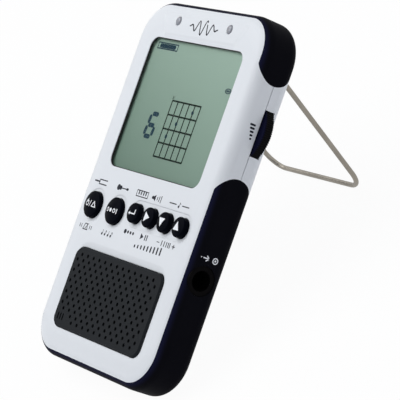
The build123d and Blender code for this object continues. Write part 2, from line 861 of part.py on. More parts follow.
cone_edge = rim_inner - frame_sheet
cone_apex = speaker_front + cone_depth
with BuildPart() as speaker_cone:
    with BuildSketch(axial(*speaker_point)):
        with BuildLine():
            Polyline(
                (0, dome_rise - cone_apex), (0, -cone_apex - cone_thickness),
                (coil_radius, -cone_apex - cone_thickness),
                (cone_edge, -speaker_front - cone_thickness), (cone_edge, -speaker_front),
                (coil_radius, -cone_apex),
            )
            TangentArc((0, dome_rise - cone_apex), (coil_radius, -cone_apex), tangent=(1, 0))
        make_face()
    revolve(axis=Axis(axial(*speaker_point).origin, face.z_dir))
save(speaker_cone, "speaker_cone")

with BuildPart() as speaker_leads:
    for x in lead_xs:
        with BuildLine():
            route = [
                (x, speaker_point[1] + lead_start, -speaker_front - frame_sheet),
                (x, speaker_point[1] + lead_start, -lead_depth),
                (x - lead_bend, board_bottom - lead_bend, -lead_depth),
                (x - lead_bend, board_bottom + lead_bend, -board_back - lead_radius),
                (x - lead_bend, board_bottom + 3 * lead_bend, -board_back - lead_radius),
            ]
            path = FilletPolyline(*[face.from_local_coords(point) for point in route], radius=lead_bend / 2)
        with BuildSketch(Plane(origin=path @ 0, z_dir=path % 0)):
            Circle(lead_radius)
        sweep(path=path)
save(speaker_leads, "speaker_leads")

with BuildPart() as mic_boot:
    with BuildSketch(face.offset(-wall)):
        with Locations(mic_point):
            Circle(mic_radius + boot_wall)
    extrude(amount=-boot_wall - mic_length)
    with BuildSketch(face.offset(-wall)):
        with Locations(mic_point):
            Circle(mic_radius - boot_wall)
    extrude(amount=-boot_wall, mode=Mode.SUBTRACT)
    with BuildSketch(face.offset(-wall - boot_wall)):
        with Locations(mic_point):
            Circle(mic_radius)
    extrude(amount=-mic_length, mode=Mode.SUBTRACT)
save(mic_boot, "mic_boot")

with BuildPart() as mic_capsule:
    with BuildSketch(face.offset(-wall - boot_wall)):
        with Locations(mic_point):
            Circle(mic_radius)
    extrude(amount=-mic_length)
save(mic_capsule, "mic_capsule")

# ------------------------------------------------------------------ gain wheel
with BuildPart() as pot_body:
    with BuildSketch(face.offset(-board_back)):
        with Locations((wheel_x, wheel_y)):
            Circle(pot_radius)
            Circle(shaft_radius + shaft_gap, mode=Mode.SUBTRACT)
    extrude(amount=-pot_height)
save(pot_body, "pot_body")

with BuildPart() as gain_shaft:
    with BuildSketch(face.offset(-board_back - fit_gap)):
        with Locations((wheel_x, wheel_y)):
            Circle(shaft_radius)
    extrude(amount=board_back + fit_gap - screw_seat)
    with BuildSketch(face.offset(-screw_seat)):
        with Locations((wheel_x, wheel_y)):
            Circle(wheel_screw_radius)
    extrude(amount=wheel_thickness - wheel_screw_head_height, mode=Mode.SUBTRACT)
save(gain_shaft, "gain_shaft")

with BuildPart() as gain_wheel:
    with BuildSketch(face.offset(-wheel_front)):
        with Locations((wheel_x, wheel_y)):
            Circle(wheel_radius)
            Circle(shaft_radius, mode=Mode.SUBTRACT)
            with PolarLocations(wheel_radius, knurl_count):
                Circle(knurl_radius, mode=Mode.SUBTRACT)
    extrude(amount=-wheel_thickness)
    with BuildSketch(face.offset(-screw_seat)):
        with Locations((wheel_x, wheel_y)):
            Circle(wheel_screw_head + fit_gap)
    extrude(amount=-wheel_thickness, mode=Mode.SUBTRACT)
save(gain_wheel, "gain_wheel")

with BuildPart() as wheel_screw:
    with BuildSketch(face.offset(-screw_seat)):
        with Locations((wheel_x, wheel_y)):
            Circle(wheel_screw_head)
    extrude(amount=-wheel_screw_head_height)
    with BuildSketch(face.offset(-screw_seat)):
        with Locations((wheel_x, wheel_y)):
            Circle(wheel_screw_radius)
    extrude(amount=wheel_thickness - wheel_screw_head_height)
    with BuildSketch(face.offset(-screw_seat - wheel_screw_head_height)):
        with Locations((wheel_x, wheel_y)):
            Rectangle(2 * wheel_screw_radius, slot_width)
            Rectangle(slot_width, 2 * wheel_screw_radius)
    extrude(amount=slot_depth, mode=Mode.SUBTRACT)
save(wheel_screw, "wheel_screw")

# ------------------------------------------------------------------ input socket
with BuildPart() as input_socket:
    with BuildSketch(side.offset(jack_inner_x)):
        with Locations((jack_y, -jack_depth)):
            Rectangle(jack_width, jack_height)
    extrude(amount=cavity_width / 2 - fit_gap - jack_inner_x)
    with BuildSketch(side.offset(jack_inner_x)):
        with Locations((jack_y, -jack_depth)):
            Circle(jack_nose - socket_ring_wall)
    extrude(amount=half_width - jack_setback - jack_inner_x)
    with BuildSketch(side.offset(jack_inner_x)):
        with Locations((jack_y, -jack_depth)):
            Circle(jack_bore)
    extrude(amount=half_width, mode=Mode.SUBTRACT)
save(input_socket, "input_socket")

with BuildPart() as socket_ring:
    with BuildSketch(side.offset(cavity_width / 2 + fit_gap)):
        with Locations((jack_y, -jack_depth)):
            Circle(jack_nose)
            Circle(jack_nose - socket_ring_wall, mode=Mode.SUBTRACT)
    extrude(amount=half_width - jack_setback - cavity_width / 2 - fit_gap)
save(socket_ring, "socket_ring")

with BuildPart() as socket_contacts:
    with BuildSketch(side.offset(jack_inner_x - contact_tag)):
        with Locations(
            (jack_y - jack_width / 2 - contact_thickness / 2, -jack_depth),
            (jack_y + jack_width / 2 + contact_thickness / 2, -jack_depth),
        ):
            Rectangle(contact_thickness, contact_width)
    extrude(amount=contact_length)
save(socket_contacts, "socket_contacts")

# ------------------------------------------------------------------ cells, contacts and door
for name, x, end, along in (
    ("left_cell", -cell_x, bay_bottom + plate_thickness + spring_height, 1),
    ("right_cell", cell_x, bay_top - plate_thickness - spring_height, -1),
):
    base = Plane(
        origin=face.from_local_coords((x, end, -cell_depth)), x_dir=face.x_dir, z_dir=face.y_dir * along
    )
    with BuildPart() as cell:
        with BuildSketch(base):
            Circle(cell_radius)
        extrude(amount=cell_length)
        with BuildSketch(base.offset(cell_length)):
            Circle(cell_nub_radius)
        extrude(amount=cell_nub_height)
    save(cell, name)

with BuildPart() as cell_springs:
    for x, end, along in (
        (-cell_x, bay_bottom + plate_thickness, 1),
        (cell_x, bay_top - plate_thickness, -1),
    ):
        with BuildLine():
            coil = Helix(
                pitch=(spring_height - 2 * spring_wire) / spring_turns,
                height=spring_height - 2 * spring_wire,
                radius=spring_radius,
                center=face.from_local_coords((x, end + along * spring_wire, -cell_depth)),
                direction=face.y_dir * along,
            )
        with BuildSketch(Plane(origin=coil @ 0, z_dir=coil % 0)):
            Circle(spring_wire)
        sweep(path=coil, is_frenet=True)
save(cell_springs, "cell_springs")

with BuildPart() as cell_plates:
    for end in (bay_bottom, bay_top - plate_thickness):
        across = Plane(
            origin=face.from_local_coords((0, end, -cell_depth)), x_dir=face.x_dir, z_dir=face.y_dir
        )
        with BuildSketch(across):
            with Locations((-cell_x, 0), (cell_x, 0)):
                Rectangle(plate_size, plate_size)
        extrude(amount=plate_thickness)
save(cell_plates, "cell_plates")

door_top = bay_top + door_top_margin - door_gap
with BuildPart() as battery_door:
    with BuildSketch(face.offset(-door_front - fit_gap)):
        with Locations((0, door_top)):
            Rectangle(2 * door_half_width, door_top - hump_bottom, align=(Align.CENTER, Align.MAX))
    extrude(amount=door_front + fit_gap - hump_back)
    fillet(
        battery_door.faces().sort_by(outward)[0].edges().sort_by(Axis(face.origin, face.y_dir))[0],
        radius=hump_edge_round - fit_gap,
    )
    with BuildSketch(face.offset(-door_front - door_gap)):
        with Locations((0, door_top)):
            Rectangle(
                2 * (door_half_width + door_tongue), door_top - hump_bottom - hump_radius,
                align=(Align.CENTER, Align.MAX),
            )
    extrude(amount=-door_tongue_height)
    with BuildSketch(face.offset(-hump_back)):
        with Locations((0, hump_bottom + door_ridge_length)):
            with GridLocations(1, door_ridge_pitch, 1, door_ridge_count):
                SlotOverall(door_ridge_length, door_ridge_pitch / 2)
    extrude(amount=door_ridge_depth, mode=Mode.SUBTRACT)
save(battery_door, "battery_door")

# ------------------------------------------------------------------ wire stand
leg_dir = face.y_dir * -cos(radians(open_angle)) - face.z_dir * sin(radians(open_angle))
stand = Plane(
    origin=face.from_local_coords((0, pivot_y, -pivot_depth)),
    x_dir=face.x_dir,
    z_dir=face.x_dir.cross(leg_dir),
)
with BuildPart() as wire_stand:
    with BuildLine(stand):
        bow = FilletPolyline(
            (leg_x - pin_length, 0), (leg_x, 0), (leg_x, leg_length),
            (-leg_x, leg_length), (-leg_x, 0), (pin_length - leg_x, 0),
            radius=(pin_bend, leg_bend, leg_bend, pin_bend),
        )
    with BuildSketch(Plane(origin=bow @ 0, z_dir=bow % 0)):
        Circle(wire_radius)
    sweep(path=bow)
save(wire_stand, "wire_stand")

# ------------------------------------------------------------------ case screws
with BuildPart() as case_screws:
    with BuildSketch(face.offset(-screw_seat_depth)):
        with Locations(*boss_points):
            Circle(case_screw_head)
    extrude(amount=-case_screw_head_height)
    with BuildSketch(face.offset(-screw_seat_depth)):
        with Locations(*boss_points):
            Circle(case_screw_radius)
    extrude(amount=case_screw_length)
    with BuildSketch(face.offset(-screw_seat_depth - case_screw_head_height)):
        with Locations(*boss_points):
            Rectangle(2 * case_screw_radius, slot_width)
            Rectangle(slot_width, 2 * case_screw_radius)
    extrude(amount=slot_depth, mode=Mode.SUBTRACT)
save(case_screws, "case_screws")
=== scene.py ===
"""Finishes, printed marks and studio for a pocket metronome and tuner on its wire stand.

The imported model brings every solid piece. This script gives each one the surface of its real
material, prints the marks on the case, the keys and the display, and sets up the studio. Lengths
are in millimetres on the plane of the case's front: x to the right, y up along the front from the
bottom edge, and z outwards. `Front` turns them into the model's metres.
"""

import json
import logging
import math
from dataclasses import dataclass, field
from enum import Enum
from functools import cache

import bpy
from mathutils import Matrix, Vector

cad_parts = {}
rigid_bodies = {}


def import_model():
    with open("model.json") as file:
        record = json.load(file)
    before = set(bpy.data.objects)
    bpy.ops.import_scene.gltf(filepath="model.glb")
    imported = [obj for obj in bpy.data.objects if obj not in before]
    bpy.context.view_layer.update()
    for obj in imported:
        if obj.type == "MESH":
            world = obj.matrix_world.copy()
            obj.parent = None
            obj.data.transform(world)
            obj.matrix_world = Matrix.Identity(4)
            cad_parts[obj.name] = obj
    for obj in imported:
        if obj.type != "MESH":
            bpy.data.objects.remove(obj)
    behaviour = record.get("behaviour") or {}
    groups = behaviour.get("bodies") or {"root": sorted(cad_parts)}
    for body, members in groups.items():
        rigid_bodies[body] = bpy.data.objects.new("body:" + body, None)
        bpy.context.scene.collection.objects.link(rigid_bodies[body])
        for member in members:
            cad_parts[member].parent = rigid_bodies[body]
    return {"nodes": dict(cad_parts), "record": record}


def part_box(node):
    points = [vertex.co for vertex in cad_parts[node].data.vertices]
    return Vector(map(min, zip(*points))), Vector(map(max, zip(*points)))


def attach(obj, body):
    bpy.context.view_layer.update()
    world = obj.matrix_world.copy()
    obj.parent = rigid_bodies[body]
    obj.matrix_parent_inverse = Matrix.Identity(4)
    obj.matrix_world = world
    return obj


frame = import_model()

log = logging.getLogger("scene")

Point = tuple[float, float]
Place = tuple[float, float, float]
Colour = tuple[float, float, float, float]
Material = bpy.types.Material
Socket = bpy.types.NodeSocket
Tree = bpy.types.NodeTree

MM = 0.001
WHITE = "ffffff"
# The radius of the case's corners.
CASE_CORNER = 13.4
# How far above its surface a drawing starts, before it is wrapped down onto it.
PRINT_HEIGHT = 3.0
# How far each noise is broken up finer: the clouds, a moulded grain and drawn lines.
CLOUD_DETAIL, GRAIN_DETAIL, LINE_DETAIL = 3.0, 4.0, 2.0
# The width of a band of the wave texture and the height of a row of the brick texture, at scale 1.
WAVE_BAND = 0.314
BRICK_ROW = 0.25


# ---------------------------------------------------------------- helpers
def linear(hex_colour: str) -> Colour:
    """Turn an sRGB hex colour into linear light.

    Args:
        hex_colour: Six hex digits, such as "e6eaf0".

    Returns:
        Red, green, blue and a full alpha.
    """
    parts = [int(hex_colour[i:i + 2], 16) / 255 for i in (0, 2, 4)]
    red, green, blue = [c / 12.92 if c <= 0.04045 else ((c + 0.055) / 1.055) ** 2.4 for c in parts]
    return red, green, blue, 1.0


def add_node(
    tree: Tree,
    kind: str,
    settings: dict | None = None,
    values: dict | None = None,
    links: dict | None = None,
) -> bpy.types.Node:
    """Add one shader node with its settings, its own values and its links.

    Args:
        tree: The material's or world's node tree.
        kind: The node's type name, without its first word, ShaderNode.
        settings: Attributes of the node.
        values: Values for input sockets, by name or number.
        links: Output sockets to join to input sockets, by name or number.

    Returns:
        The new node.
    """
    node = tree.nodes.new("ShaderNode" + kind)
    for name, setting in (settings or {}).items():
        setattr(node, name, setting)
    for name, value in (values or {}).items():
        node.inputs[name].default_value = value
    for name, output in (links or {}).items():
        tree.links.new(output, node.inputs[name])
    return node


def empty_tree(owner: Material | bpy.types.World) -> Tree:
    """Give a material or a world an empty node tree.

    Args:
        owner: The new material or world.

    Returns:
        Its tree.
    """
    owner.use_nodes = True
    owner.node_tree.nodes.clear()
    return owner.node_tree


def seen_rays(tree: Tree) -> Socket:
    """Add nodes that pick the rays that show a surface: straight, mirrored or through glass.

    Args:
        tree: The material's or world's node tree.

    Returns:
        The output socket that is 1 for such a ray.
    """
    rays = add_node(tree, "LightPath")
    seen = rays.outputs["Is Camera Ray"]
    for other in ("Is Glossy Ray", "Is Transmission Ray"):
        seen = add_node(
            tree, "Math", {"operation": "MAXIMUM"},
            links={0: seen, 1: rays.outputs[other]},
        ).outputs[0]
    return seen


def per_metre(size_mm: float) -> float:
    """Return the texture scale at which one cell of a pattern is `size_mm` across."""
    return 1 / (size_mm * MM)


def deselect() -> None:
    """Leave no object selected, so that an operator works only on what it is meant for."""
    if bpy.context.object and bpy.context.object.mode != "OBJECT":
        bpy.ops.object.mode_set(mode="OBJECT")
    bpy.ops.object.select_all(action="DESELECT")


# ---------------------------------------------------------------- the front's plane
@dataclass(frozen=True)
class Front:
    """The plane of the case's front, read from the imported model."""

    origin: Vector
    right: Vector
    up: Vector
    out: Vector

    @classmethod
    def from_frame(cls) -> "Front":
        """Find the plane from the flat front's mount and the lowest point of the bottom bumper.

        Returns:
            The plane, with its origin at the middle of the bottom edge.
        """
        mount = next(m for m in frame["record"]["mounts"] if m["name"] == "front_face")
        out = Vector(mount["axis"]).normalized()
        right = Vector((1, 0, 0))
        up = out.cross(right)
        low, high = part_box("front_cover")
        bottom = min(v.co.dot(up) for v in frame["nodes"]["bottom_bumper"].data.vertices)
        middle = (low.x + high.x) / 2
        return cls(
            right * middle + up * bottom + out * Vector(mount["pos_m"]).dot(out), right, up, out,
        )

    @property
    def tilt(self) -> Place:
        """Return the turn that lays the model's axes along the front's, for a mapping."""
        return -math.acos(self.out.z), 0.0, 0.0

    def at(self, x: float, y: float, z: float = 0.0) -> Vector:
        """Return the model's place, in metres, of a point on the front in millimetres."""
        return self.origin + self.along(x, y, z) * MM

    def along(self, x: float, y: float, z: float) -> Vector:
        """Return a direction given along the front's own axes in the model's axes."""
        return self.right * x + self.up * y + self.out * z

    def span(self, node: str) -> tuple[Vector, Vector]:
        """Measure a piece along the front's axes.

        Args:
            node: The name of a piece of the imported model.

        Returns:
            Its lowest and highest x, y and z in millimetres.
        """
        points = [v.co - self.origin for v in frame["nodes"][node].data.vertices]
        sides = [[p.dot(axis) / MM for p in points] for axis in (self.right, self.up, self.out)]
        return Vector([min(side) for side in sides]), Vector([max(side) for side in sides])

    def centre(self, node: str) -> Vector:
        """Return the middle of a piece in millimetres on the front."""
        low, high = self.span(node)
        return (low + high) / 2


FRONT = Front.from_frame()


def on_front(tree: Tree) -> Socket:
    """Add nodes that give each point's place on the front's axes, in millimetres.

    Args:
        tree: The material's node tree.

    Returns:
        The output socket of that place.
    """
    start = [-FRONT.origin.dot(axis) / MM for axis in (FRONT.right, FRONT.up, FRONT.out)]
    return add_node(
        tree, "Mapping",
        values={"Scale": [1 / MM] * 3, "Location": start, "Rotation": FRONT.tilt},
        links={"Vector": add_node(tree, "TexCoord").outputs["Object"]},
    ).outputs["Vector"]


class Facing(Enum):
    """Which way a printed mark reads: its own right and up, along the front's axes."""

    FRONT = ((1, 0, 0), (0, 1, 0))
    SIDE_UPWARDS = ((0, 1, 0), (0, 0, 1))
    SIDE_BACKWARDS = ((0, 0, -1), (0, 1, 0))


# ---------------------------------------------------------------- finishes
@dataclass
class Draft:
    """A material being built.

    `place` is each point's place on its piece. `height` drives the bump and the gloss. `layers`
    are the colours laid over the first one, each with the share that it takes. `lean` is a normal
    for the bump to start from, and `values` and `links` are for the shader itself.
    """

    tree: Tree
    place: Socket
    height: Socket | None = None
    lean: Socket | None = None
    layers: dict[str, Socket] = field(default_factory=dict)
    values: dict = field(default_factory=dict)
    links: dict = field(default_factory=dict)


@dataclass(frozen=True)
class Finish:
    """A surface whose colour, gloss and bump follow a pattern.

    The colour drifts from `colour` to `shade`, the roughness keeps within the share `spread` of
    `roughness`, and the pattern rises by `depth`.
    """

    name: str
    colour: str
    shade: str
    roughness: float
    spread: float = 0.0
    depth: float = 0.006
    ior: float = 1.5
    specular: float = 0.5

    def pattern(self, draft: Draft) -> None:
        """Add the finish's own pattern.

        Args:
            draft: The material being built.
        """
        raise NotImplementedError

    @cache
    def material(self) -> Material:
        """Build the material, the first time that it is asked for.

        Returns:
            A material whose colour, roughness and bump follow the pattern.
        """
        made = bpy.data.materials.new(self.name)
        tree = empty_tree(made)
        draft = Draft(tree, add_node(tree, "TexCoord").outputs["Object"])
        self.pattern(draft)
        values = {"IOR": self.ior, "Specular IOR Level": self.specular, **draft.values}
        links = draft.links
        for tone, share in draft.layers.items():
            mix = add_node(
                tree, "Mix", {"data_type": "RGBA"}, {6: linear(self.colour), 7: linear(tone)},
                {0: share, **({6: links["Base Color"]} if "Base Color" in links else {})},
            )
            links["Base Color"] = mix.outputs[2]
        if self.spread:
            low, high = self.roughness * (1 - self.spread), self.roughness * (1 + self.spread)
            links["Roughness"] = add_node(
                tree, "MapRange", values={"To Min": low, "To Max": high},
                links={"Value": draft.height},
            ).outputs["Result"]
        else:
            values["Roughness"] = self.roughness
        bump = add_node(
            tree, "Bump", values={"Distance": self.depth * MM, "Strength": 1.0},
            links={"Height": draft.height},
        )
        if draft.lean is not None:
            tree.links.new(draft.lean, bump.inputs["Normal"])
        links["Normal"] = bump.outputs["Normal"]
        shader = add_node(tree, "BsdfPrincipled", values=values, links=links)
        add_node(tree, "OutputMaterial", links={"Surface": shader.outputs[0]})
        return made


@dataclass(frozen=True)
class Moulding(Finish):
    """A moulded plastic or rubber: soft clouds in its colour and a fine skin from the tool.

    `cloud` is the width of the clouds and `skin` that of the skin's grain. A piece given a sheen
    colour takes that colour where it comes nearest to the front, between the two depths of its
    sheen reach: a painted sheen, standing in for the highlight that the lights leave along its
    front rim. A shell with a `crown` eases into its rounded edges: its face leans outwards by that
    height over `crown_reach`, both measured inwards from the case's outline.
    """

    spread: float = 0.15
    ior: float = 1.54
    cloud: float = 14.0
    skin: float = 1.4
    coat: float = 0.0
    coat_roughness: float = 0.08
    # A painted sheen: a colour laid where the piece comes nearest to the front, standing in for a
    # highlight.
    bloom_and_painted_sheen: str = ""
    sheen_reach: Point = (-5.5, -1.0)
    crown: float = 0.0
    crown_reach: Point = (0.4, 7.0)
    specular_tint: str = WHITE
    subsurface: float = 0.0

    def pattern(self, draft: Draft) -> None:
        """Add the clouds and the grain of the moulded skin, its painted sheen and its crown.

        Args:
            draft: The material being built.
        """
        clouds, draft.height = [
            add_node(
                draft.tree, "TexNoise", values={"Scale": per_metre(size), "Detail": detail},
                links={"Vector": draft.place},
            ).outputs["Fac"]
            for size, detail in ((self.cloud, CLOUD_DETAIL), (self.skin, GRAIN_DETAIL))
        ]
        draft.layers = {self.shade: clouds}
        # Paint the sheen colour over the part nearest the front, as a highlight.
        if self.bloom_and_painted_sheen:
            draft.layers[self.bloom_and_painted_sheen] = self.painted_sheen_share(draft.tree)
        if self.crown:
            draft.lean = self.crowned(draft.tree)
        draft.values = {
            "Coat Weight": self.coat, "Coat Roughness": self.coat_roughness,
            "Specular Tint": linear(self.specular_tint), "Subsurface Weight": self.subsurface,
            "Subsurface Scale": MM,
        }

    def painted_sheen_share(self, tree: Tree) -> Socket:
        """Paint the sheen colour in towards the front, as a highlight along the rim.

        Args:
            tree: The material's node tree.

        Returns:
            The output socket of the share that the painted sheen takes.
        """
        start, end = self.sheen_reach
        height = add_node(tree, "SeparateXYZ", links={0: on_front(tree)}).outputs["Z"]
        # The painted sheen's share grows towards the front.
        return add_node(
            tree, "MapRange", {"interpolation_type": "SMOOTHSTEP"},
            {"From Min": start, "From Max": end}, {"Value": height},
        ).outputs["Result"]

    def crowned(self, tree: Tree) -> Socket:
        """Lean the face outwards near the case's outline, by its distance from that outline.

        Args:
            tree: The material's node tree.

        Returns:
            The output socket of the leaning normal.
        """
        low, high = FRONT.span("front_cover")
        # The third number lies past any depth, so that only the outline counts.
        half = Vector((
            (high.x - low.x) / 2 - CASE_CORNER, (high.y - low.y) / 2 - CASE_CORNER, 2 * high.y,
        ))
        beside = on_front(tree)
        for operation, other in (
            ("SUBTRACT", (low + high) / 2), ("ABSOLUTE", (0, 0, 0)), ("SUBTRACT", half),
        ):
            beside = add_node(
                tree, "VectorMath", {"operation": operation}, {1: other}, {0: beside},
            ).outputs[0]
        past = add_node(tree, "VectorMath", {"operation": "MAXIMUM"}, {1: (0, 0, 0)}, {0: beside})
        past = add_node(tree, "VectorMath", {"operation": "LENGTH"}, links={0: past.outputs[0]})
        sides = add_node(tree, "SeparateXYZ", links={0: beside})
        short = add_node(
            tree, "Math", {"operation": "MAXIMUM"},
            links={0: sides.outputs["X"], 1: sides.outputs["Y"]},
        )
        short = add_node(tree, "Math", {"operation": "MINIMUM"}, {1: 0.0}, {0: short.outputs[0]})
        reach = add_node(
            tree, "Math", {"operation": "ADD"},
            links={0: past.outputs["Value"], 1: short.outputs[0]},
        )
        near, far = self.crown_reach
        drop = add_node(
            tree, "MapRange", {"interpolation_type": "SMOOTHSTEP"},
            {"From Min": CASE_CORNER - far, "From Max": CASE_CORNER - near, "To Max": -self.crown},
            {"Value": reach.outputs[0]},
        )
        return add_node(
            tree, "Bump", values={"Distance": MM, "Strength": 1.0},
            links={"Height": drop.outputs["Result"]},
        ).outputs["Normal"]


@dataclass(frozen=True)
class Metal(Finish):
    """A worked metal: fine draw or press lines along one direction, and dull clouds in its tone.

    `lines` is the spacing of the lines, `run` how many times longer they are than wide, and the
    last size the width of the clouds of duller tone.
    """

    spread: float = 0.3
    depth: float = 0.003
    lines: float = 0.5
    run: float = 12.0
    bloom_and_painted_sheen: float = 6.0

    def pattern(self, draft: Draft) -> None:
        """Add the lines and the dull clouds of the worked metal.

        Args:
            draft: The material being built.
        """
        stretched = add_node(
            draft.tree, "Mapping", values={"Scale": (1.0, 1 / self.run, 1.0)},
            links={"Vector": draft.place},
        ).outputs["Vector"]
        draft.height, bloom_and_painted_sheen = [
            add_node(
                draft.tree, "TexNoise", values={"Scale": per_metre(size), "Detail": detail},
                links={"Vector": vector},
            ).outputs["Fac"]
            for size, detail, vector in (
                (self.lines, LINE_DETAIL, stretched), (self.bloom_and_painted_sheen, CLOUD_DETAIL, draft.place),
            )
        ]
        draft.layers = {self.shade: bloom_and_painted_sheen}
        draft.values = {"Metallic": 1.0}


@dataclass(frozen=True)
class Weave(Finish):
    """A plain woven cloth: threads `thread` apart that cross and `wander` on the front's plane."""

    depth: float = 0.05
    thread: float = 3.14
    wander: float = 0.4

    def pattern(self, draft: Draft) -> None:
        """Add the crossing threads.

        Args:
            draft: The material being built.
        """
        level = add_node(
            draft.tree, "Mapping", values={"Rotation": FRONT.tilt}, links={"Vector": draft.place},
        ).outputs["Vector"]
        across, along = [
            add_node(
                draft.tree, "TexWave", {"bands_direction": direction},
                {"Scale": per_metre(self.thread) * WAVE_BAND, "Distortion": self.wander},
                {"Vector": level},
            ).outputs["Fac"]
            for direction in ("X", "Y")
        ]
        draft.height = add_node(
            draft.tree, "Math", {"operation": "MULTIPLY"}, links={0: across, 1: along},
        ).outputs["Value"]
        draft.layers = {self.shade: draft.height}


@dataclass(frozen=True)
class Cellular(Finish):
    """A foam or pressed fibre: open cells or felted flecks, `cell` wide and dull all over."""

    cell: float = 0.6

    def pattern(self, draft: Draft) -> None:
        """Add the cells.

        Args:
            draft: The material being built.
        """
        draft.height = add_node(
            draft.tree, "TexVoronoi", values={"Scale": per_metre(self.cell)},
            links={"Vector": draft.place},
        ).outputs["Distance"]
        draft.layers = {self.shade: draft.height}


@dataclass(frozen=True)
class CircuitBoard(Finish):
    """A solder-masked board: tracks at the pitch of the pads show paler under the mask.

    `track` is the width of the tracks and `soft` that of their edges, in the pattern's own units.
    """

    depth: float = 0.03
    pitch: float = 2.54
    track: float = 0.03
    soft: float = 0.2

    def pattern(self, draft: Draft) -> None:
        """Add the raised tracks in their two greens.

        Args:
            draft: The material being built.
        """
        level = add_node(
            draft.tree, "Mapping", values={"Rotation": FRONT.tilt}, links={"Vector": draft.place},
        )
        mask, track = linear(self.colour), linear(self.shade)
        tracks = add_node(
            draft.tree, "TexBrick", {"offset": 0.5},
            {
                "Scale": per_metre(self.pitch) * BRICK_ROW, "Mortar Size": self.track,
                "Mortar Smooth": self.soft, "Color1": mask, "Color2": mask, "Mortar": track,
            },
            {"Vector": level.outputs["Vector"]},
        )
        draft.height = tracks.outputs["Fac"]
        draft.links = {"Base Color": tracks.outputs["Color"]}


@dataclass(frozen=True)
class LiquidCrystal(Finish):
    """A reflective liquid-crystal glass: grey green, painted paler towards one corner as a gleam of
    the lights.

    The tone is painted paler along a direction given on the front's axes, over `reach`: painted
    light, standing in for the gleam of the lights on the glass. `grit` is the width of its grains.
    """

    spread: float = 0.2
    depth: float = 0.002
    painted_gleam_direction: Place = (0.35, 0.94, 0.0)
    reach: float = 62.0
    grit: float = 0.35

    def pattern(self, draft: Draft) -> None:
        """Add the painted gleam, paler across the glass, and its grit.

        Args:
            draft: The material being built.
        """
        tree, place = draft.tree, draft.place
        direction = FRONT.along(*self.painted_gleam_direction).normalized()
        middle = FRONT.at(*FRONT.centre("lcd_panel")).dot(direction)
        reach = self.reach * MM
        along = add_node(
            tree, "VectorMath", {"operation": "DOT_PRODUCT"}, {1: direction}, {0: place},
        )
        # The painted gleam: the pale shade's share grows across the glass towards the upper right.
        tone = add_node(
            tree, "MapRange",
            values={"From Min": middle - reach / 2, "From Max": middle + reach / 2},
            links={"Value": along.outputs["Value"]},
        )
        draft.height = add_node(
            tree, "TexNoise", values={"Scale": per_metre(self.grit), "Detail": LINE_DETAIL},
            links={"Vector": place},
        ).outputs["Fac"]
        draft.layers = {self.shade: tone.outputs["Result"]}


@dataclass(frozen=True)
class ClearWindow(Finish):
    """A thin cast-acrylic window: clear seen straight on, and shiny where it is seen slantwise.

    It has one tone. Its cover grows from `clear` to `gleam`, and `ripple` is the width of the
    waves in its surface.
    """

    spread: float = 0.2
    depth: float = 0.01
    ior: float = 1.49
    ripple: float = 20.0
    clear: float = 0.01
    gleam: float = 0.05

    def pattern(self, draft: Draft) -> None:
        """Add the faint ripple and the cover that grows at a slant.

        Args:
            draft: The material being built.
        """
        draft.height = add_node(
            draft.tree, "TexNoise", values={"Scale": per_metre(self.ripple)},
            links={"Vector": draft.place},
        ).outputs["Fac"]
        slant = add_node(draft.tree, "Fresnel", values={"IOR": self.ior})
        cover = add_node(
            draft.tree, "MapRange", values={"To Min": self.clear, "To Max": self.gleam},
            links={"Value": slant.outputs["Fac"]},
        )
        draft.values = {"Base Color": linear(self.colour)}
        draft.links = {"Alpha": cover.outputs["Result"]}


# Glossy injection-moulded ABS. A polished tool leaves a cool white with a soft, slightly wavy
# gloss that blurs what it mirrors.
WHITE_ABS = Moulding(
    "glossy_white_abs", "e5e9ed", "e1e5ea", 0.3, cloud=22.0, skin=3.0, depth=0.004,
    coat=0.05, coat_roughness=0.2, crown=0.8, specular=0.15,
)
# The same ABS on the battery door, moulded apart: a trace warmer and duller than the shells.
DOOR_ABS = Moulding(
    "moulded_white_abs_door", "e4e7eb", "dfe2e7", 0.36, cloud=16.0, skin=2.0, depth=0.005,
)
# Thermoplastic elastomer moulded over the shells: near black and satin. A navy sheen is painted
# along its thin front rim, standing in for the highlight that the lights leave there.
BUMPER_RUBBER = Moulding(
    "overmoulded_black_elastomer", "0c0c10", "0f0f13", 0.6, ior=1.5, cloud=9.0, skin=0.5,
    depth=0.008, bloom_and_painted_sheen="17182f", sheen_reach=(-2.2, -0.3), specular=0.02, specular_tint="b4bcf5",
)
# Glossy black ABS of the key caps: dark blue-black with a small soft highlight.
KEY_ABS = Moulding(
    "glossy_black_abs_keys", "06070d", "080a12", 0.3, cloud=6.0, skin=0.6,
    specular=0.01, specular_tint="d4daff",
)
# Spark-textured ABS on the speaker grille: an even charcoal with no clear highlight.
GRILLE_ABS = Moulding(
    "spark_textured_charcoal_abs", "15181b", "1c1f23", 0.65, cloud=5.0, skin=0.35, depth=0.02,
    specular=0.08,
)
# Nylon of the thumb wheel: dull black with a cold tone, fine grain between the knurls. Where it
# comes nearest to the front it is painted navy, a painted sheen standing in for the light that its
# front face catches.
WHEEL_NYLON = Moulding(
    "knurled_black_nylon", "060607", "09090b", 0.55, ior=1.53, cloud=2.5, skin=0.3, depth=0.01,
    bloom_and_painted_sheen="0a0c26", sheen_reach=(-8.4, -7.7), specular=0.05,
)
# Black nylon of the socket and its washer.
SOCKET_NYLON = Moulding(
    "turned_black_nylon", "070607", "0b0a0b", 0.5, ior=1.53, cloud=4.0, skin=0.4, depth=0.008,
    specular=0.02,
)
# Die-cut neoprene of the lens seal: flat black that hides the window's edge.
SEAL_NEOPRENE = Moulding(
    "die_cut_black_neoprene", "0b0c0d", "121314", 0.85, ior=1.52, cloud=2.0, skin=0.25, depth=0.02,
)
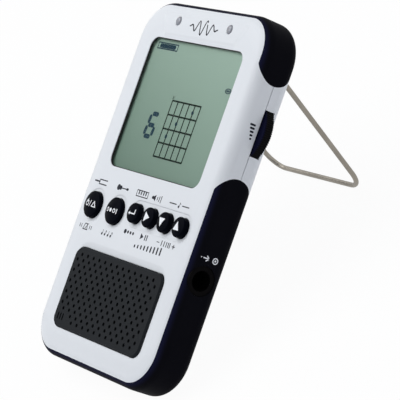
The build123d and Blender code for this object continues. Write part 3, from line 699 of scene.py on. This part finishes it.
# Natural ABS of the display's holder: plain white, unpolished.
HOLDER_ABS = Moulding(
    "unpolished_white_abs", "d6d7d6", "cdcecd", 0.55, cloud=8.0, skin=0.6, depth=0.01,
)
# Carbon-loaded silicone strips between glass and board: black and a little waxy.
STRIP_SILICONE = Moulding(
    "striped_carbon_silicone", "17181a", "3a3b3d", 0.6, ior=1.41, cloud=0.6, skin=0.25, depth=0.01,
)
# Diffusing polycarbonate of the two lamps: milky grey while they are off, with a glossy crown.
LAMP_POLYCARBONATE = Moulding(
    "diffusing_grey_polycarbonate", "8f929b", "7b7e88", 0.22, ior=1.58, cloud=1.6, skin=0.5,
    coat=0.4, subsurface=0.1,
)
# Transfer-moulded epoxy of the chip: dull black with a peppery grain.
CHIP_EPOXY = Moulding(
    "moulded_black_epoxy", "101012", "1a1a1c", 0.65, cloud=1.0, skin=0.25, depth=0.012,
)
# Acetal of the key plungers: dark grey and waxy.
PLUNGER_ACETAL = Moulding(
    "dark_grey_acetal", "2c2d2f", "343537", 0.45, ior=1.48, cloud=1.5, skin=0.3,
)
# Extruded vinyl of the two speaker leads: red, a little shiny.
LEAD_VINYL = Moulding(
    "extruded_red_vinyl", "8c1512", "741110", 0.4, ior=1.52, cloud=2.5, skin=0.4,
)
# Printed film shrunk round the cells: a blue-grey with faint stretch clouds.
CELL_FILM = Moulding(
    "shrunk_printed_film", "4a5a75", "3c4b64", 0.3, ior=1.57, cloud=5.0, skin=1.2, depth=0.008,
    coat=0.3,
)
# Soft rubber boot of the microphone.
BOOT_RUBBER = Moulding(
    "moulded_black_rubber", "0c0c0d", "141416", 0.8, ior=1.52, cloud=1.5, skin=0.25, depth=0.012,
)
# Screen ink on the case: dense blue-black, level and a little satin.
DARK_INK = Moulding(
    "screen_printed_dark_ink", "1b1c27", "23242f", 0.5, ior=1.5, cloud=0.8, skin=0.25, depth=0.002,
    specular=0.15,
)
# Pad-printed white ink on the keys and the bumper.
WHITE_INK = Moulding(
    "pad_printed_white_ink", "f2f4f7", "e6e9ee", 0.5, ior=1.5, cloud=0.8, skin=0.25, depth=0.002,
)
# Reflective liquid-crystal glass: its polariser gives a satin grey green. Its paler shade towards
# the upper right is painted light, a gleam of the lights on the glass.
LCD_GLASS = LiquidCrystal("reflective_lcd_glass", "647f70", "9db8a8", 0.5, specular=0.25)
# Cast acrylic of the window: it has no colour, only a faint gleam.
WINDOW_ACRYLIC = ClearWindow("clear_acrylic", "1c2220", "1c2220", 0.06)
# Glass-fibre board under a green solder mask: satin, with paler tracks.
BOARD_MASK = CircuitBoard("green_solder_mask", "0b4a2a", "17693d", 0.35)
# Driven liquid-crystal segments: a deep bottle green, slightly uneven.
SEGMENT_DARK = Moulding(
    "driven_lcd_segment", "0d1a14", "14251d", 0.5, ior=1.5, cloud=0.8, skin=0.25, depth=0.002,
    specular=0.05,
)
# Half-driven segments show slate blue.
SEGMENT_SLATE = Moulding(
    "half_driven_lcd_segment", "1f3743", "2a4451", 0.5, ior=1.5, cloud=0.8, skin=0.25, depth=0.002,
    specular=0.05,
)
# Nickel-plated drawn steel of the stand: warm grey, with fine lines along the wire.
STAND_NICKEL = Metal("nickel_plated_steel_wire", "a39d93", "7f7a72", 0.42, lines=0.35, bloom_and_painted_sheen=5.0)
# Zinc-plated screws: pale, a little cloudy.
ZINC_STEEL = Metal("zinc_plated_steel", "b4b6b8", "9c9ea2", 0.32, lines=0.3, run=3.0, bloom_and_painted_sheen=2.0)
# Deep-drawn steel of the speaker basket, magnet cup, switches and quartz can.
DRAWN_STEEL = Metal("deep_drawn_steel", "a6a8aa", "8e9093", 0.38, lines=0.4, run=5.0, bloom_and_painted_sheen=5.0)
# Spring brass under nickel: a faint warmth in the cell springs, plates and socket contacts.
CONTACT_METAL = Metal("nickelled_spring_brass", "c2b390", "a89a78", 0.28, lines=0.3, run=8.0)
# Impact-extruded aluminium of the capacitor cans.
CAN_ALUMINIUM = Metal("extruded_aluminium", "b9bcc2", "a2a6ad", 0.3, lines=0.3, run=10.0)
# Polyester cloth behind the grille: black threads, drawn far coarser than real so they show.
DUST_CLOTH = Weave("woven_black_polyester", "030303", "101113", 0.9)
# Pressed pulp of the speaker cone: dark grey with felted flecks.
CONE_PULP = Cellular("pressed_paper_pulp", "232324", "3a3a3b", 0.95, depth=0.03, cell=0.7)
# Open-cell polyurethane ring in front of the speaker.
RING_FOAM = Cellular("open_cell_polyurethane", "141415", "303032", 0.95, depth=0.12)


# ---------------------------------------------------------------- strokes of a printed mark
@dataclass(frozen=True)
class Bar:
    """A straight line, its ends rounded by the share `rounding` of its width."""

    start: Point
    end: Point
    width: float = 0.35
    rounding: float = 0.48
    steps: int = 4

    def draw(self) -> None:
        """Add the bar to the mesh in edit mode: a plane at its size, its corners rounded."""
        run, rise = self.end[0] - self.start[0], self.end[1] - self.start[1]
        middle = ((self.start[0] + self.end[0]) / 2, (self.start[1] + self.end[1]) / 2, 0)
        length = math.hypot(run, rise) + self.width
        bpy.ops.mesh.primitive_plane_add(size=1, location=middle)
        bpy.ops.transform.resize(value=(length, self.width, 1), center_override=middle)
        # With no window the rotate operator turns clockwise, so the angle is given as it is there.
        bpy.ops.transform.rotate(
            value=-math.atan2(rise, run), orient_axis="Z", center_override=middle,
        )
        bpy.ops.mesh.bevel(
            affect="VERTICES", offset=self.width * self.rounding, segments=self.steps,
        )


@dataclass(frozen=True)
class Disc:
    """A filled circle, or a regular shape with few corners such as an arrowhead."""

    centre: Point
    radius: float
    corners: int = 20
    turn: float = 0.0

    def draw(self) -> None:
        """Add the disc to the mesh in edit mode, as a fan of triangles."""
        bpy.ops.mesh.primitive_circle_add(
            vertices=self.corners, radius=self.radius, fill_type="TRIFAN",
            location=(*self.centre, 0), rotation=(0, 0, math.radians(self.turn)),
        )


@dataclass(frozen=True)
class Ring:
    """An open circle or oval, `stretch` times as wide as high."""

    centre: Point
    radius: float
    width: float = 0.3
    stretch: float = 1.0
    corners: int = 28

    def draw(self) -> None:
        """Add the ring to the mesh in edit mode: a circle extruded inwards to its width."""
        middle = (*self.centre, 0)
        inner = 1 - self.width / self.radius
        bpy.ops.mesh.primitive_circle_add(
            vertices=self.corners, radius=self.radius, fill_type="NOTHING", location=middle,
        )
        bpy.ops.mesh.extrude_region_move()
        bpy.ops.transform.resize(value=(inner, inner, 1), center_override=middle)
        bpy.ops.mesh.select_linked()
        bpy.ops.transform.resize(value=(self.stretch, 1, 1), center_override=middle)


Stroke = Bar | Disc | Ring


def polyline(points: list[Point], width: float = 0.3) -> tuple[Stroke, ...]:
    """Return the bars that join points one after the other."""
    return tuple(Bar(a, b, width) for a, b in zip(points, points[1:]))


def uprights(places: tuple[float, ...], half: float, width: float) -> tuple[Stroke, ...]:
    """Return upright bars at some x, each reaching `half` above and below the middle."""
    return tuple(Bar((x, -half), (x, half), width) for x in places)


def note(x: float, flag: bool = True) -> tuple[Stroke, ...]:
    """Return a small music note with its head at `x`."""
    stem = (Disc((x, -0.55), 0.42), Bar((x + 0.32, -0.5), (x + 0.32, 0.8), 0.2))
    return stem + ((Bar((x + 0.32, 0.8), (x + 0.85, 0.35), 0.22),) if flag else ())


class Sign(Enum):
    """The plain signs printed on the case and the keys, drawn round their own middle."""

    FORK = (
        Bar((-3.2, 0), (-0.8, 0), 0.42),
        *polyline([(3.0, 0.6), (-0.8, 0.6), (-0.8, -0.6), (3.0, -0.6)]),
    )
    GUITAR = (
        Disc((-2.5, 0), 1.0), Disc((-1.2, 0), 0.75), Bar((-0.8, 0), (2.4, 0), 0.35),
        Bar((2.7, 0), (3.3, 0), 0.8),
    )
    KEYBOARD = (
        *polyline([(-2.8, -0.8), (2.8, -0.8), (2.8, 0.8), (-2.8, 0.8), (-2.8, -0.8)], 0.25),
        *(Bar((x, -0.1), (x, 0.7), 0.5) for x in (-1.7, -0.6, 0.6, 1.7)),
    )
    LOUDER = (
        Bar((-2.2, 0), (-1.8, 0), 0.8), Disc((-1.3, 0), 1.0, 3, 90),
        *(Bar((x, -h), (x, h), 0.3) for x, h in ((0.1, 0.35), (1.0, 0.6), (1.9, 0.85))),
    )
    PITCH = (Bar((-5.6, 0), (-1.8, 0), 0.34), Bar((1.8, 0), (5.6, 0), 0.34), *note(-0.2))
    SWING = (
        *polyline([(-1.1, -0.8), (1.1, -0.8), (0.5, 0.8), (-0.5, 0.8), (-1.1, -0.8)], 0.26),
        Bar((0, -0.5), (1.1, 0.9), 0.22), *uprights((-3.0, -2.1, 2.1, 3.0), 0.4, 0.28),
    )
    NOTES = (*note(-3.0, False), *note(-1.2), *note(0.7, False), *note(2.5))
    BEATS = (Disc((-1.9, 0), 0.62), *(Disc((x, 0), 0.42) for x in (-0.5, 0.8, 2.1)))
    START = (Disc((-1.1, 0), 0.95, 3, -90), *uprights((0.7, 1.6), 0.6, 0.4))
    SLOWER_FASTER = (
        Bar((-5.2, 0), (-3.9, 0), 0.26), *uprights((-2.4, -0.9, 0.4, 1.5, 2.4), 0.7, 0.42),
        Bar((3.9, 0), (5.2, 0), 0.34), *uprights((4.55,), 0.6, 0.34),
    )
    RAMP = tuple(
        Bar((-7.6 + 1.9 * i, -1.0), (-7.6 + 1.9 * i, -0.7 + 0.2 * i), 0.75) for i in range(9)
    )
    WAVE = polyline([
        (0.3 * i - 5.4, 1.7 * math.sin(math.pi * i / 36) * math.sin(0.7 * i)) for i in range(37)
    ], 0.32)
    LEVEL = tuple(
        Bar((0.9 * i - 1.8, -0.65), (0.9 * i - 1.8, 0.3 * i - 0.55), 0.55) for i in range(5)
    )
    PLUG_IN = (
        Bar((-3.2, 0), (-0.3, 0), 0.36), Bar((-0.3, 0), (-1.2, 0.75), 0.36),
        Bar((-0.3, 0), (-1.2, -0.75), 0.36), Ring((2.1, 0), 1.05, 0.34), Disc((2.1, 0), 0.34),
    )
    POWER = (
        Ring((-1.3, 0), 0.85, 0.28), Bar((-1.3, 0.2), (-1.3, 1.05), 0.3),
        Bar((0.0, -0.8), (0.45, 0.8), 0.24),
        *polyline([(1.1, -0.7), (2.7, -0.7), (1.9, 0.8), (1.1, -0.7)], 0.26),
    )
    PLACE = (
        Ring((-1.9, 0), 0.62, 0.26), Disc((-0.3, 0), 0.55), Ring((1.3, 0), 0.62, 0.26),
        *uprights((2.4,), 0.6, 0.26),
    )
    ENTER = (
        *polyline([(1.4, 0.8), (1.4, -0.3), (-1.1, -0.3)], 0.34), Disc((-1.1, -0.3), 0.62, 3, 90),
    )
    RIGHT = (Disc((-0.3, 0), 1.6, 3, -90),)
    DOWN = (Disc((-0.3, 0.2), 1.6, 3, 180),)
    UP = (Disc((-0.3, -0.2), 1.6, 3, 0),)


@dataclass(frozen=True)
class Mark:
    """One printed mark: its strokes laid on a piece's surface as a thin film of ink.

    `x`, `y` and `z` are its middle on the front's axes, `z` standing clear of the surface that the
    film is then wrapped down to. `cuts` divides its faces where the surface is curved.
    """

    name: str
    strokes: tuple[Stroke, ...]
    x: float
    y: float
    z: float
    surface: str
    body: str
    finish: Finish
    slot: str
    facing: Facing = Facing.FRONT
    size: float = 1.0
    cuts: int = 0
    film: float = 0.02

    def build(self) -> None:
        """Draw the mark flat, face it upwards, put it in its place and wrap it onto its surface."""
        deselect()
        bpy.ops.mesh.primitive_plane_add(size=1)
        mark = bpy.context.object
        mark.name = mark.data.name = self.name
        bpy.ops.object.mode_set(mode="EDIT")
        bpy.ops.mesh.delete(type="VERT")
        for stroke in self.strokes:
            stroke.draw()
            bpy.ops.mesh.select_all(action="DESELECT")
        bpy.ops.mesh.select_all(action="SELECT")
        bpy.ops.mesh.quads_convert_to_tris()
        if self.cuts:
            bpy.ops.mesh.subdivide(number_cuts=self.cuts)
        bpy.ops.mesh.select_all(action="DESELECT")
        bpy.ops.object.mode_set(mode="OBJECT")
        for face in mark.data.polygons:
            face.select = face.normal.z < 0
        bpy.ops.object.mode_set(mode="EDIT")
        bpy.ops.mesh.flip_normals()
        bpy.ops.object.mode_set(mode="OBJECT")
        self.place(mark)
        self.wrap(mark)

    def place(self, mark: bpy.types.Object) -> None:
        """Move the flat drawing to its place and put that place into its mesh.

        Args:
            mark: The drawing.
        """
        right, up = (FRONT.along(*axis) for axis in self.facing.value)
        scale = self.size * MM
        turn = Matrix((right * scale, up * scale, right.cross(up) * scale)).transposed().to_4x4()
        mark.matrix_world = Matrix.Translation(FRONT.at(self.x, self.y, self.z)) @ turn
        bpy.ops.object.transform_apply(location=True, rotation=True, scale=True)

    def wrap(self, mark: bpy.types.Object) -> None:
        """Lay the drawing on its surface, give it the thickness of a film and dress it.

        Args:
            mark: The drawing, in its place.
        """
        wrap = mark.modifiers.new("lay", "SHRINKWRAP")
        wrap.target = frame["nodes"][self.surface]
        wrap.wrap_method = "PROJECT"
        wrap.use_negative_direction = True
        wrap.use_positive_direction = False
        wrap.offset = self.film * MM
        bpy.ops.object.modifier_apply(modifier=wrap.name)
        film = mark.modifiers.new("film", "SOLIDIFY")
        film.thickness = self.film * MM / 2
        bpy.ops.object.modifier_apply(modifier=film.name)
        mark.data.materials.append(self.finish.material())
        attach(mark, self.body)
        log.info("%s: %d faces on %s", self.name, len(mark.data.polygons), self.surface)


# ---------------------------------------------------------------- the sub-assemblies
class Assembly:
    """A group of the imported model's pieces, dressed together."""

    finishes: dict[str, Finish]

    def dress(self) -> None:
        """Give each piece of the group the material of its finish."""
        for node, finish in self.finishes.items():
            slots = frame["nodes"][node].data.materials
            slots.clear()
            slots.append(finish.material())
            log.info("%s: %s", node, finish.name)

    def marks(self) -> list[Mark]:
        """Return the group's printed marks; most groups have none."""
        return []

    def build(self) -> None:
        """Dress the group and print its marks."""
        self.dress()
        for mark in self.marks():
            mark.build()


@dataclass
class Case(Assembly):
    """The two shells, the bumpers, the battery door and the case screws."""

    crest: Point = (0.6, 114.6)
    crest_size: float = 1.5
    input_y: float = 45.7
    input_z: float = -6.2
    finishes = {
        "front_cover": WHITE_ABS, "rear_cover": WHITE_ABS, "top_bumper": BUMPER_RUBBER,
        "bottom_bumper": BUMPER_RUBBER, "battery_door": DOOR_ABS, "case_screws": ZINC_STEEL,
    }

    def marks(self) -> list[Mark]:
        """Lay out the wave between the lamps and the sign at the input socket.

        Returns:
            The two marks.
        """
        side_x = FRONT.span("bottom_bumper")[1].x + PRINT_HEIGHT
        return [
            Mark("crest_wave", Sign.WAVE.value, *self.crest, PRINT_HEIGHT, "front_cover", "case",
                 DARK_INK, "key_black", size=self.crest_size),
            Mark("input_sign", Sign.PLUG_IN.value, side_x, self.input_y, self.input_z,
                 "bottom_bumper", "case", WHITE_INK, "white_shell", Facing.SIDE_BACKWARDS, cuts=2),
        ]


@dataclass
class Display(Assembly):
    """The display: seal, window, glass, holder and strips, with the figures that it shows.

    Widths and radii are those of the figures' lines, segments, blocks and dots. The figures start
    `clear` above the glass.
    """

    clear: float = 0.05
    grid_x: Point = (-5.0, 12.0)
    grid_y: Point = (71.25, 90.0)
    strings: int = 6
    frets: int = 5
    line: float = 0.56
    digit_at: Point = (-12.3, 80.7)
    digit_half: Point = (2.2, 3.8)
    digit_slant: float = 0.12
    segment: float = 1.55
    segment_gap: float = 0.75
    tag_x: Point = (-24.6, -12.6)
    tag_y: Point = (105.9, 107.9)
    tag_line: float = 0.4
    tag_blocks: int = 3
    block_half: float = 1.2
    block_width: float = 1.45
    oval: Point = (23.6, 96.6)
    oval_half: float = 0.6
    finger_dots: tuple[Point, ...] = ((8.5, 87.5), (1.6, 82.9), (-1.7, 78.3))
    dot_radius: float = 0.7
    cross: Point = (-5.0, 91.0)
    cross_half: float = 0.45
    cross_line: float = 0.2
    finishes = {
        "lcd_gasket": SEAL_NEOPRENE, "lcd_lens": WINDOW_ACRYLIC, "lcd_panel": LCD_GLASS,
        "lcd_holder": HOLDER_ABS, "connector_strips": STRIP_SILICONE,
    }

    def chord_grid(self) -> tuple[Stroke, ...]:
        """Draw the fretboard: upright strings, level frets and a cross on the muted string.

        Returns:
            Its strokes.
        """
        (left, right), (low, high) = self.grid_x, self.grid_y
        upright = [left + i * (right - left) / (self.strings - 1) for i in range(self.strings)]
        level = [low + i * (high - low) / (self.frets - 1) for i in range(self.frets)]
        (x, y), arm = self.cross, self.cross_half
        return (
            *(Bar((string, low), (string, high), self.line) for string in upright),
            *(Bar((left, fret), (right, fret), self.line) for fret in level),
            Bar((x - arm, y - arm), (x + arm, y + arm), self.cross_line),
            Bar((x - arm, y + arm), (x + arm, y - arm), self.cross_line),
        )

    def digit(self) -> tuple[Stroke, ...]:
        """Draw a seven-segment six, its upper right segment off.

        Returns:
            Its segments.
        """
        wide, high = self.digit_half
        gap = self.segment * self.segment_gap

        def segment(start: Point, end: Point) -> Bar:
            """Return one segment between two corners, slanted and put in its place."""
            middle_x, middle_y = self.digit_at
            ends = ((middle_x + x + y * self.digit_slant, middle_y + y) for x, y in (start, end))
            return Bar(*ends, self.segment)

        lower, upper = (gap - high, -gap), (gap, high - gap)
        return (
            *(segment((gap - wide, y), (wide - gap, y)) for y in (-high, 0, high)),
            *(segment((x, low), (x, top)) for x, (low, top) in (
                (-wide, lower), (-wide, upper), (wide, lower),
            )),
        )

    def tag(self) -> tuple[Stroke, ...]:
        """Draw the outlined tag at the top left, with plain blocks in it.

        Returns:
            Its outline and its blocks.
        """
        (left, right), (low, high), half = self.tag_x, self.tag_y, self.block_half
        middle = (low + high) / 2
        outline = [(left, low), (right, low), (right, high), (left, high), (left, low)]
        step = (right - left) / (self.tag_blocks + 1)
        places = (left + i * step for i in range(1, self.tag_blocks + 1))
        return (
            *polyline(outline, self.tag_line),
            *(Bar((x - half, middle), (x + half, middle), self.block_width) for x in places),
        )

    def marks(self) -> list[Mark]:
        """Lay the display's figures on the glass under the window.

        Returns:
            The five figures.
        """
        height = FRONT.span("lcd_panel")[1].z + self.clear
        (x, y), half = self.oval, self.oval_half
        oval = (Ring(self.oval, 0.9, 0.3, 1.9), Bar((x - half, y), (x + half, y), 0.6))
        return [
            Mark(name, strokes, 0, 0, height, "lcd_panel", "case", finish, "gasket_black")
            for name, strokes, finish in (
                ("lcd_chord_grid", self.chord_grid(), SEGMENT_DARK),
                ("lcd_finger_dots", tuple(Disc(p, self.dot_radius) for p in self.finger_dots),
                 SEGMENT_SLATE),
                ("lcd_digit", self.digit(), SEGMENT_SLATE),
                ("lcd_tag", self.tag(), SEGMENT_SLATE),
                ("lcd_oval", oval, SEGMENT_SLATE),
            )
        ]


@dataclass
class Keys(Assembly):
    """The six keys and their plungers, the signs on them and the signs round them.

    The signs stand in rows at `above` and below the keys, `shift` aside of them, and `bold` is the
    size of the heavier ones.
    """

    shift: float = -0.8
    above: float = 58.5
    below_big: float = 43.1
    below_small: float = 45.65
    pair_shift: float = -1.2
    ramp: Point = (12.0, 43.0)
    sign_size: float = 1.2
    bold: float = 1.22
    key_signs = {
        "power": Sign.POWER, "position": Sign.PLACE, "set": Sign.ENTER, "play": Sign.RIGHT,
        "down": Sign.DOWN, "up": Sign.UP,
    }
    finishes = {
        **{f"{key}_key": KEY_ABS for key in key_signs},
        **{f"{key}_plunger": PLUNGER_ACETAL for key in key_signs},
    }

    def marks(self) -> list[Mark]:
        """Lay out one white sign on each key and the dark signs above and below them.

        Returns:
            The signs on the keys, then those on the case.
        """
        middles = {key: FRONT.centre(f"{key}_key") for key in self.key_signs}
        on_keys = [
            Mark(f"{key}_sign", sign.value, *middles[key].xy,
                 FRONT.span(f"{key}_key")[1].z + PRINT_HEIGHT, f"{key}_key", key, WHITE_INK,
                 "white_shell", size=self.sign_size, cuts=3)
            for key, sign in self.key_signs.items()
        ]
        columns = {key: middle.x + self.shift for key, middle in middles.items()}
        columns["pair"] = (middles["down"].x + middles["up"].x) / 2 + self.pair_shift
        columns["ramp"], ramp_y = self.ramp
        legends = (
            ("tuner", Sign.FORK, "power", self.above, self.bold),
            ("guitar", Sign.GUITAR, "position", self.above, 1.0),
            ("notes", Sign.KEYBOARD, "set", self.above, self.bold),
            ("sound", Sign.LOUDER, "play", self.above, self.bold),
            ("pitch", Sign.PITCH, "pair", self.above, 1.0),
            ("swing", Sign.SWING, "power", self.below_big, self.bold),
            ("rhythm", Sign.NOTES, "position", self.below_big, 1.0),
            ("beat", Sign.BEATS, "set", self.below_small, self.bold),
            ("start", Sign.START, "play", self.below_small, self.bold),
            ("tempo", Sign.SLOWER_FASTER, "pair", self.below_small, 1.0),
            ("ramp", Sign.RAMP, "ramp", ramp_y, 1.0),
        )
        return on_keys + [
            Mark(f"{name}_legend", sign.value, columns[column], y, PRINT_HEIGHT, "front_cover",
                 "case", DARK_INK, "key_black", size=size)
            for name, sign, column, y, size in legends
        ]


@dataclass
class Electronics(Assembly):
    """The main board and what is soldered or screwed to it, and the two lamps."""

    finishes = {
        "main_board": BOARD_MASK, "board_screws": ZINC_STEEL, "controller_chip": CHIP_EPOXY,
        "quartz_can": DRAWN_STEEL, "capacitors": CAN_ALUMINIUM, "tact_switches": DRAWN_STEEL,
        "left_lamp": LAMP_POLYCARBONATE, "right_lamp": LAMP_POLYCARBONATE,
    }


@dataclass
class Speaker(Assembly):
    """The speaker behind its grille, and the microphone in its boot."""

    finishes = {
        "speaker_grille": GRILLE_ABS, "dust_cloth": DUST_CLOTH, "speaker_foam": RING_FOAM,
        "speaker_frame": DRAWN_STEEL, "speaker_magnet": DRAWN_STEEL, "speaker_cone": CONE_PULP,
        "speaker_leads": LEAD_VINYL, "mic_boot": BOOT_RUBBER, "mic_capsule": CAN_ALUMINIUM,
    }


@dataclass
class GainControl(Assembly):
    """The thumb wheel on its shaft and potentiometer, with the level sign beside it."""

    sign_y: float = 86.55
    sign_z: float = -4.7
    sign_size: float = 1.2
    finishes = {
        "gain_wheel": WHEEL_NYLON, "gain_shaft": CONTACT_METAL, "wheel_screw": ZINC_STEEL,
        "pot_body": DRAWN_STEEL,
    }

    def marks(self) -> list[Mark]:
        """Lay out the rising bars on the side of the case.

        Returns:
            The one mark.
        """
        side_x = FRONT.span("front_cover")[1].x + PRINT_HEIGHT
        return [
            Mark("level_sign", Sign.LEVEL.value, side_x, self.sign_y, self.sign_z, "front_cover",
                 "case", DARK_INK, "key_black", Facing.SIDE_UPWARDS, size=self.sign_size, cuts=1),
        ]


@dataclass
class InputJack(Assembly):
    """The input socket, its washer and its spring contacts."""

    finishes = {
        "input_socket": SOCKET_NYLON, "socket_ring": SOCKET_NYLON, "socket_contacts": CONTACT_METAL,
    }


@dataclass
class BatteryBay(Assembly):
    """The two cells with their springs and plates."""

    finishes = {
        "left_cell": CELL_FILM, "right_cell": CELL_FILM, "cell_springs": CONTACT_METAL,
        "cell_plates": CONTACT_METAL,
    }


@dataclass
class Stand(Assembly):
    """The wire stand that swings out of the back."""

    finishes = {"wire_stand": STAND_NICKEL}


# ---------------------------------------------------------------- studio
@dataclass
class Studio:
    """The floor, the soft lights, the white surround and the camera.

    The floor measures `floor_size` metres, with `floor_fibres` clouds of its two tones across it.
    """

    floor_size: float = 8.0
    floor_tones: tuple[str, str] = ("f4f5f7", "f0f1f4")
    floor_fibres: float = 500.0
    floor_roughness: float = 0.9
    floor_glow: float = 0.95
    ambient_left: float = 0.30
    ambient_right: float = 0.37
    ambient_colour: str = "f6f8ff"
    key_watts: float = 8.9
    key_place: Place = (-315.0, 420.0, 900.0)
    key_size: float = 1.0
    fill_watts: float = 0.3
    fill_place: Place = (620.0, 200.0, 160.0)
    fill_size: float = 0.6
    camera_place: Place = (590.6, 38.2, 372.2)
    camera_aim: Place = (30.82, 61.86, 0.0)
    camera_roll: float = 19.41
    camera_lens: float = 198.54
    camera_near: float = 0.01

    def build(self) -> None:
        """Set up the floor, the surround, the lights and the camera."""
        self.lay_floor()
        self.light_surround()
        self.hang_light("key_light", self.key_place, self.key_size, self.key_watts)
        self.hang_light("fill_light", self.fill_place, self.fill_size, self.fill_watts)
        self.aim_camera()
        bpy.context.scene.view_settings.view_transform = "Standard"

    def lay_floor(self) -> None:
        """Lay a pale paper floor that shows near white and keeps a soft shadow."""
        deselect()
        bpy.ops.mesh.primitive_plane_add(size=self.floor_size)
        floor = bpy.context.object
        floor.name = "studio_floor"
        paper = bpy.data.materials.new("matt_white_paper")
        tree = empty_tree(paper)
        light, dark = (linear(tone) for tone in self.floor_tones)
        fibres = add_node(
            tree, "TexNoise", values={"Scale": self.floor_fibres, "Detail": GRAIN_DETAIL},
        )
        tone = add_node(
            tree, "Mix", {"data_type": "RGBA"}, {6: light, 7: dark}, {0: fibres.outputs["Fac"]},
        )
        matt = add_node(
            tree, "BsdfPrincipled", values={"Roughness": self.floor_roughness},
            links={"Base Color": tone.outputs[2]},
        )
        glow = add_node(tree, "Emission", values={"Color": linear(WHITE), "Strength": 1.0})
        share = add_node(
            tree, "Math", {"operation": "MULTIPLY"}, {1: self.floor_glow}, {0: seen_rays(tree)},
        )
        mix = add_node(
            tree, "MixShader",
            links={0: share.outputs[0], 1: matt.outputs[0], 2: glow.outputs[0]},
        )
        add_node(tree, "OutputMaterial", links={"Surface": mix.outputs[0]})
        floor.data.materials.append(paper)

    def light_surround(self) -> None:
        """Give the soft light of the room, with a white background behind the floor."""
        world = bpy.data.worlds.new("studio_surround")
        tree = empty_tree(world)
        # The direction's x runs from -1 on the left to 1 on the right.
        across = add_node(
            tree, "SeparateXYZ", links={0: add_node(tree, "TexCoord").outputs["Generated"]},
        )
        level = add_node(
            tree, "MapRange",
            values={"From Min": -1.0, "To Min": self.ambient_left, "To Max": self.ambient_right},
            links={"Value": across.outputs["X"]},
        )
        soft = add_node(
            tree, "Background", values={"Color": linear(self.ambient_colour)},
            links={"Strength": level.outputs["Result"]},
        )
        white = add_node(tree, "Background", values={"Color": linear(WHITE), "Strength": 1.0})
        mix = add_node(
            tree, "MixShader", links={0: seen_rays(tree), 1: soft.outputs[0], 2: white.outputs[0]},
        )
        add_node(tree, "OutputWorld", links={"Surface": mix.outputs[0]})
        bpy.context.scene.world = world

    def hang_light(self, name: str, place: Place, size: float, watts: float) -> None:
        """Hang one soft square light that faces the middle of the front.

        Args:
            name: The light's name.
            place: Its place on the front's axes, in millimetres.
            size: Its side in metres.
            watts: Its power.
        """
        deselect()
        spot = FRONT.at(*place)
        beam = FRONT.at(*FRONT.centre("front_cover")) - spot
        bpy.ops.object.light_add(
            type="AREA", location=spot, rotation=beam.to_track_quat("-Z", "Y").to_euler(),
        )
        light = bpy.context.object
        light.name = name
        light.data.size = size
        light.data.energy = watts

    def aim_camera(self) -> None:
        """Put the camera in its place, aimed at a point beside the display and rolled."""
        deselect()
        place = FRONT.at(*self.camera_place)
        forward = (FRONT.at(*self.camera_aim) - place).normalized()
        level = forward.cross(FRONT.up).normalized()
        right = Matrix.Rotation(-math.radians(self.camera_roll), 3, forward) @ level
        turn = Matrix((right, right.cross(forward), -forward)).transposed()
        bpy.ops.object.camera_add(location=place, rotation=turn.to_euler())
        camera = bpy.context.object
        camera.name = "studio_camera"
        camera.data.lens = self.camera_lens
        camera.data.clip_start = self.camera_near
        bpy.context.scene.camera = camera


def main() -> None:
    """Build and dress every sub-assembly, then the studio."""
    logging.basicConfig(level=logging.INFO, format="%(message)s")
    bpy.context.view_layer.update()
    for assembly in (
        Case(), Display(), Keys(), Electronics(), Speaker(), GainControl(), InputJack(),
        BatteryBay(), Stand(),
    ):
        assembly.build()
        log.info("built %s", type(assembly).__name__)
    Studio().build()


if __name__ == "__main__":
    main()
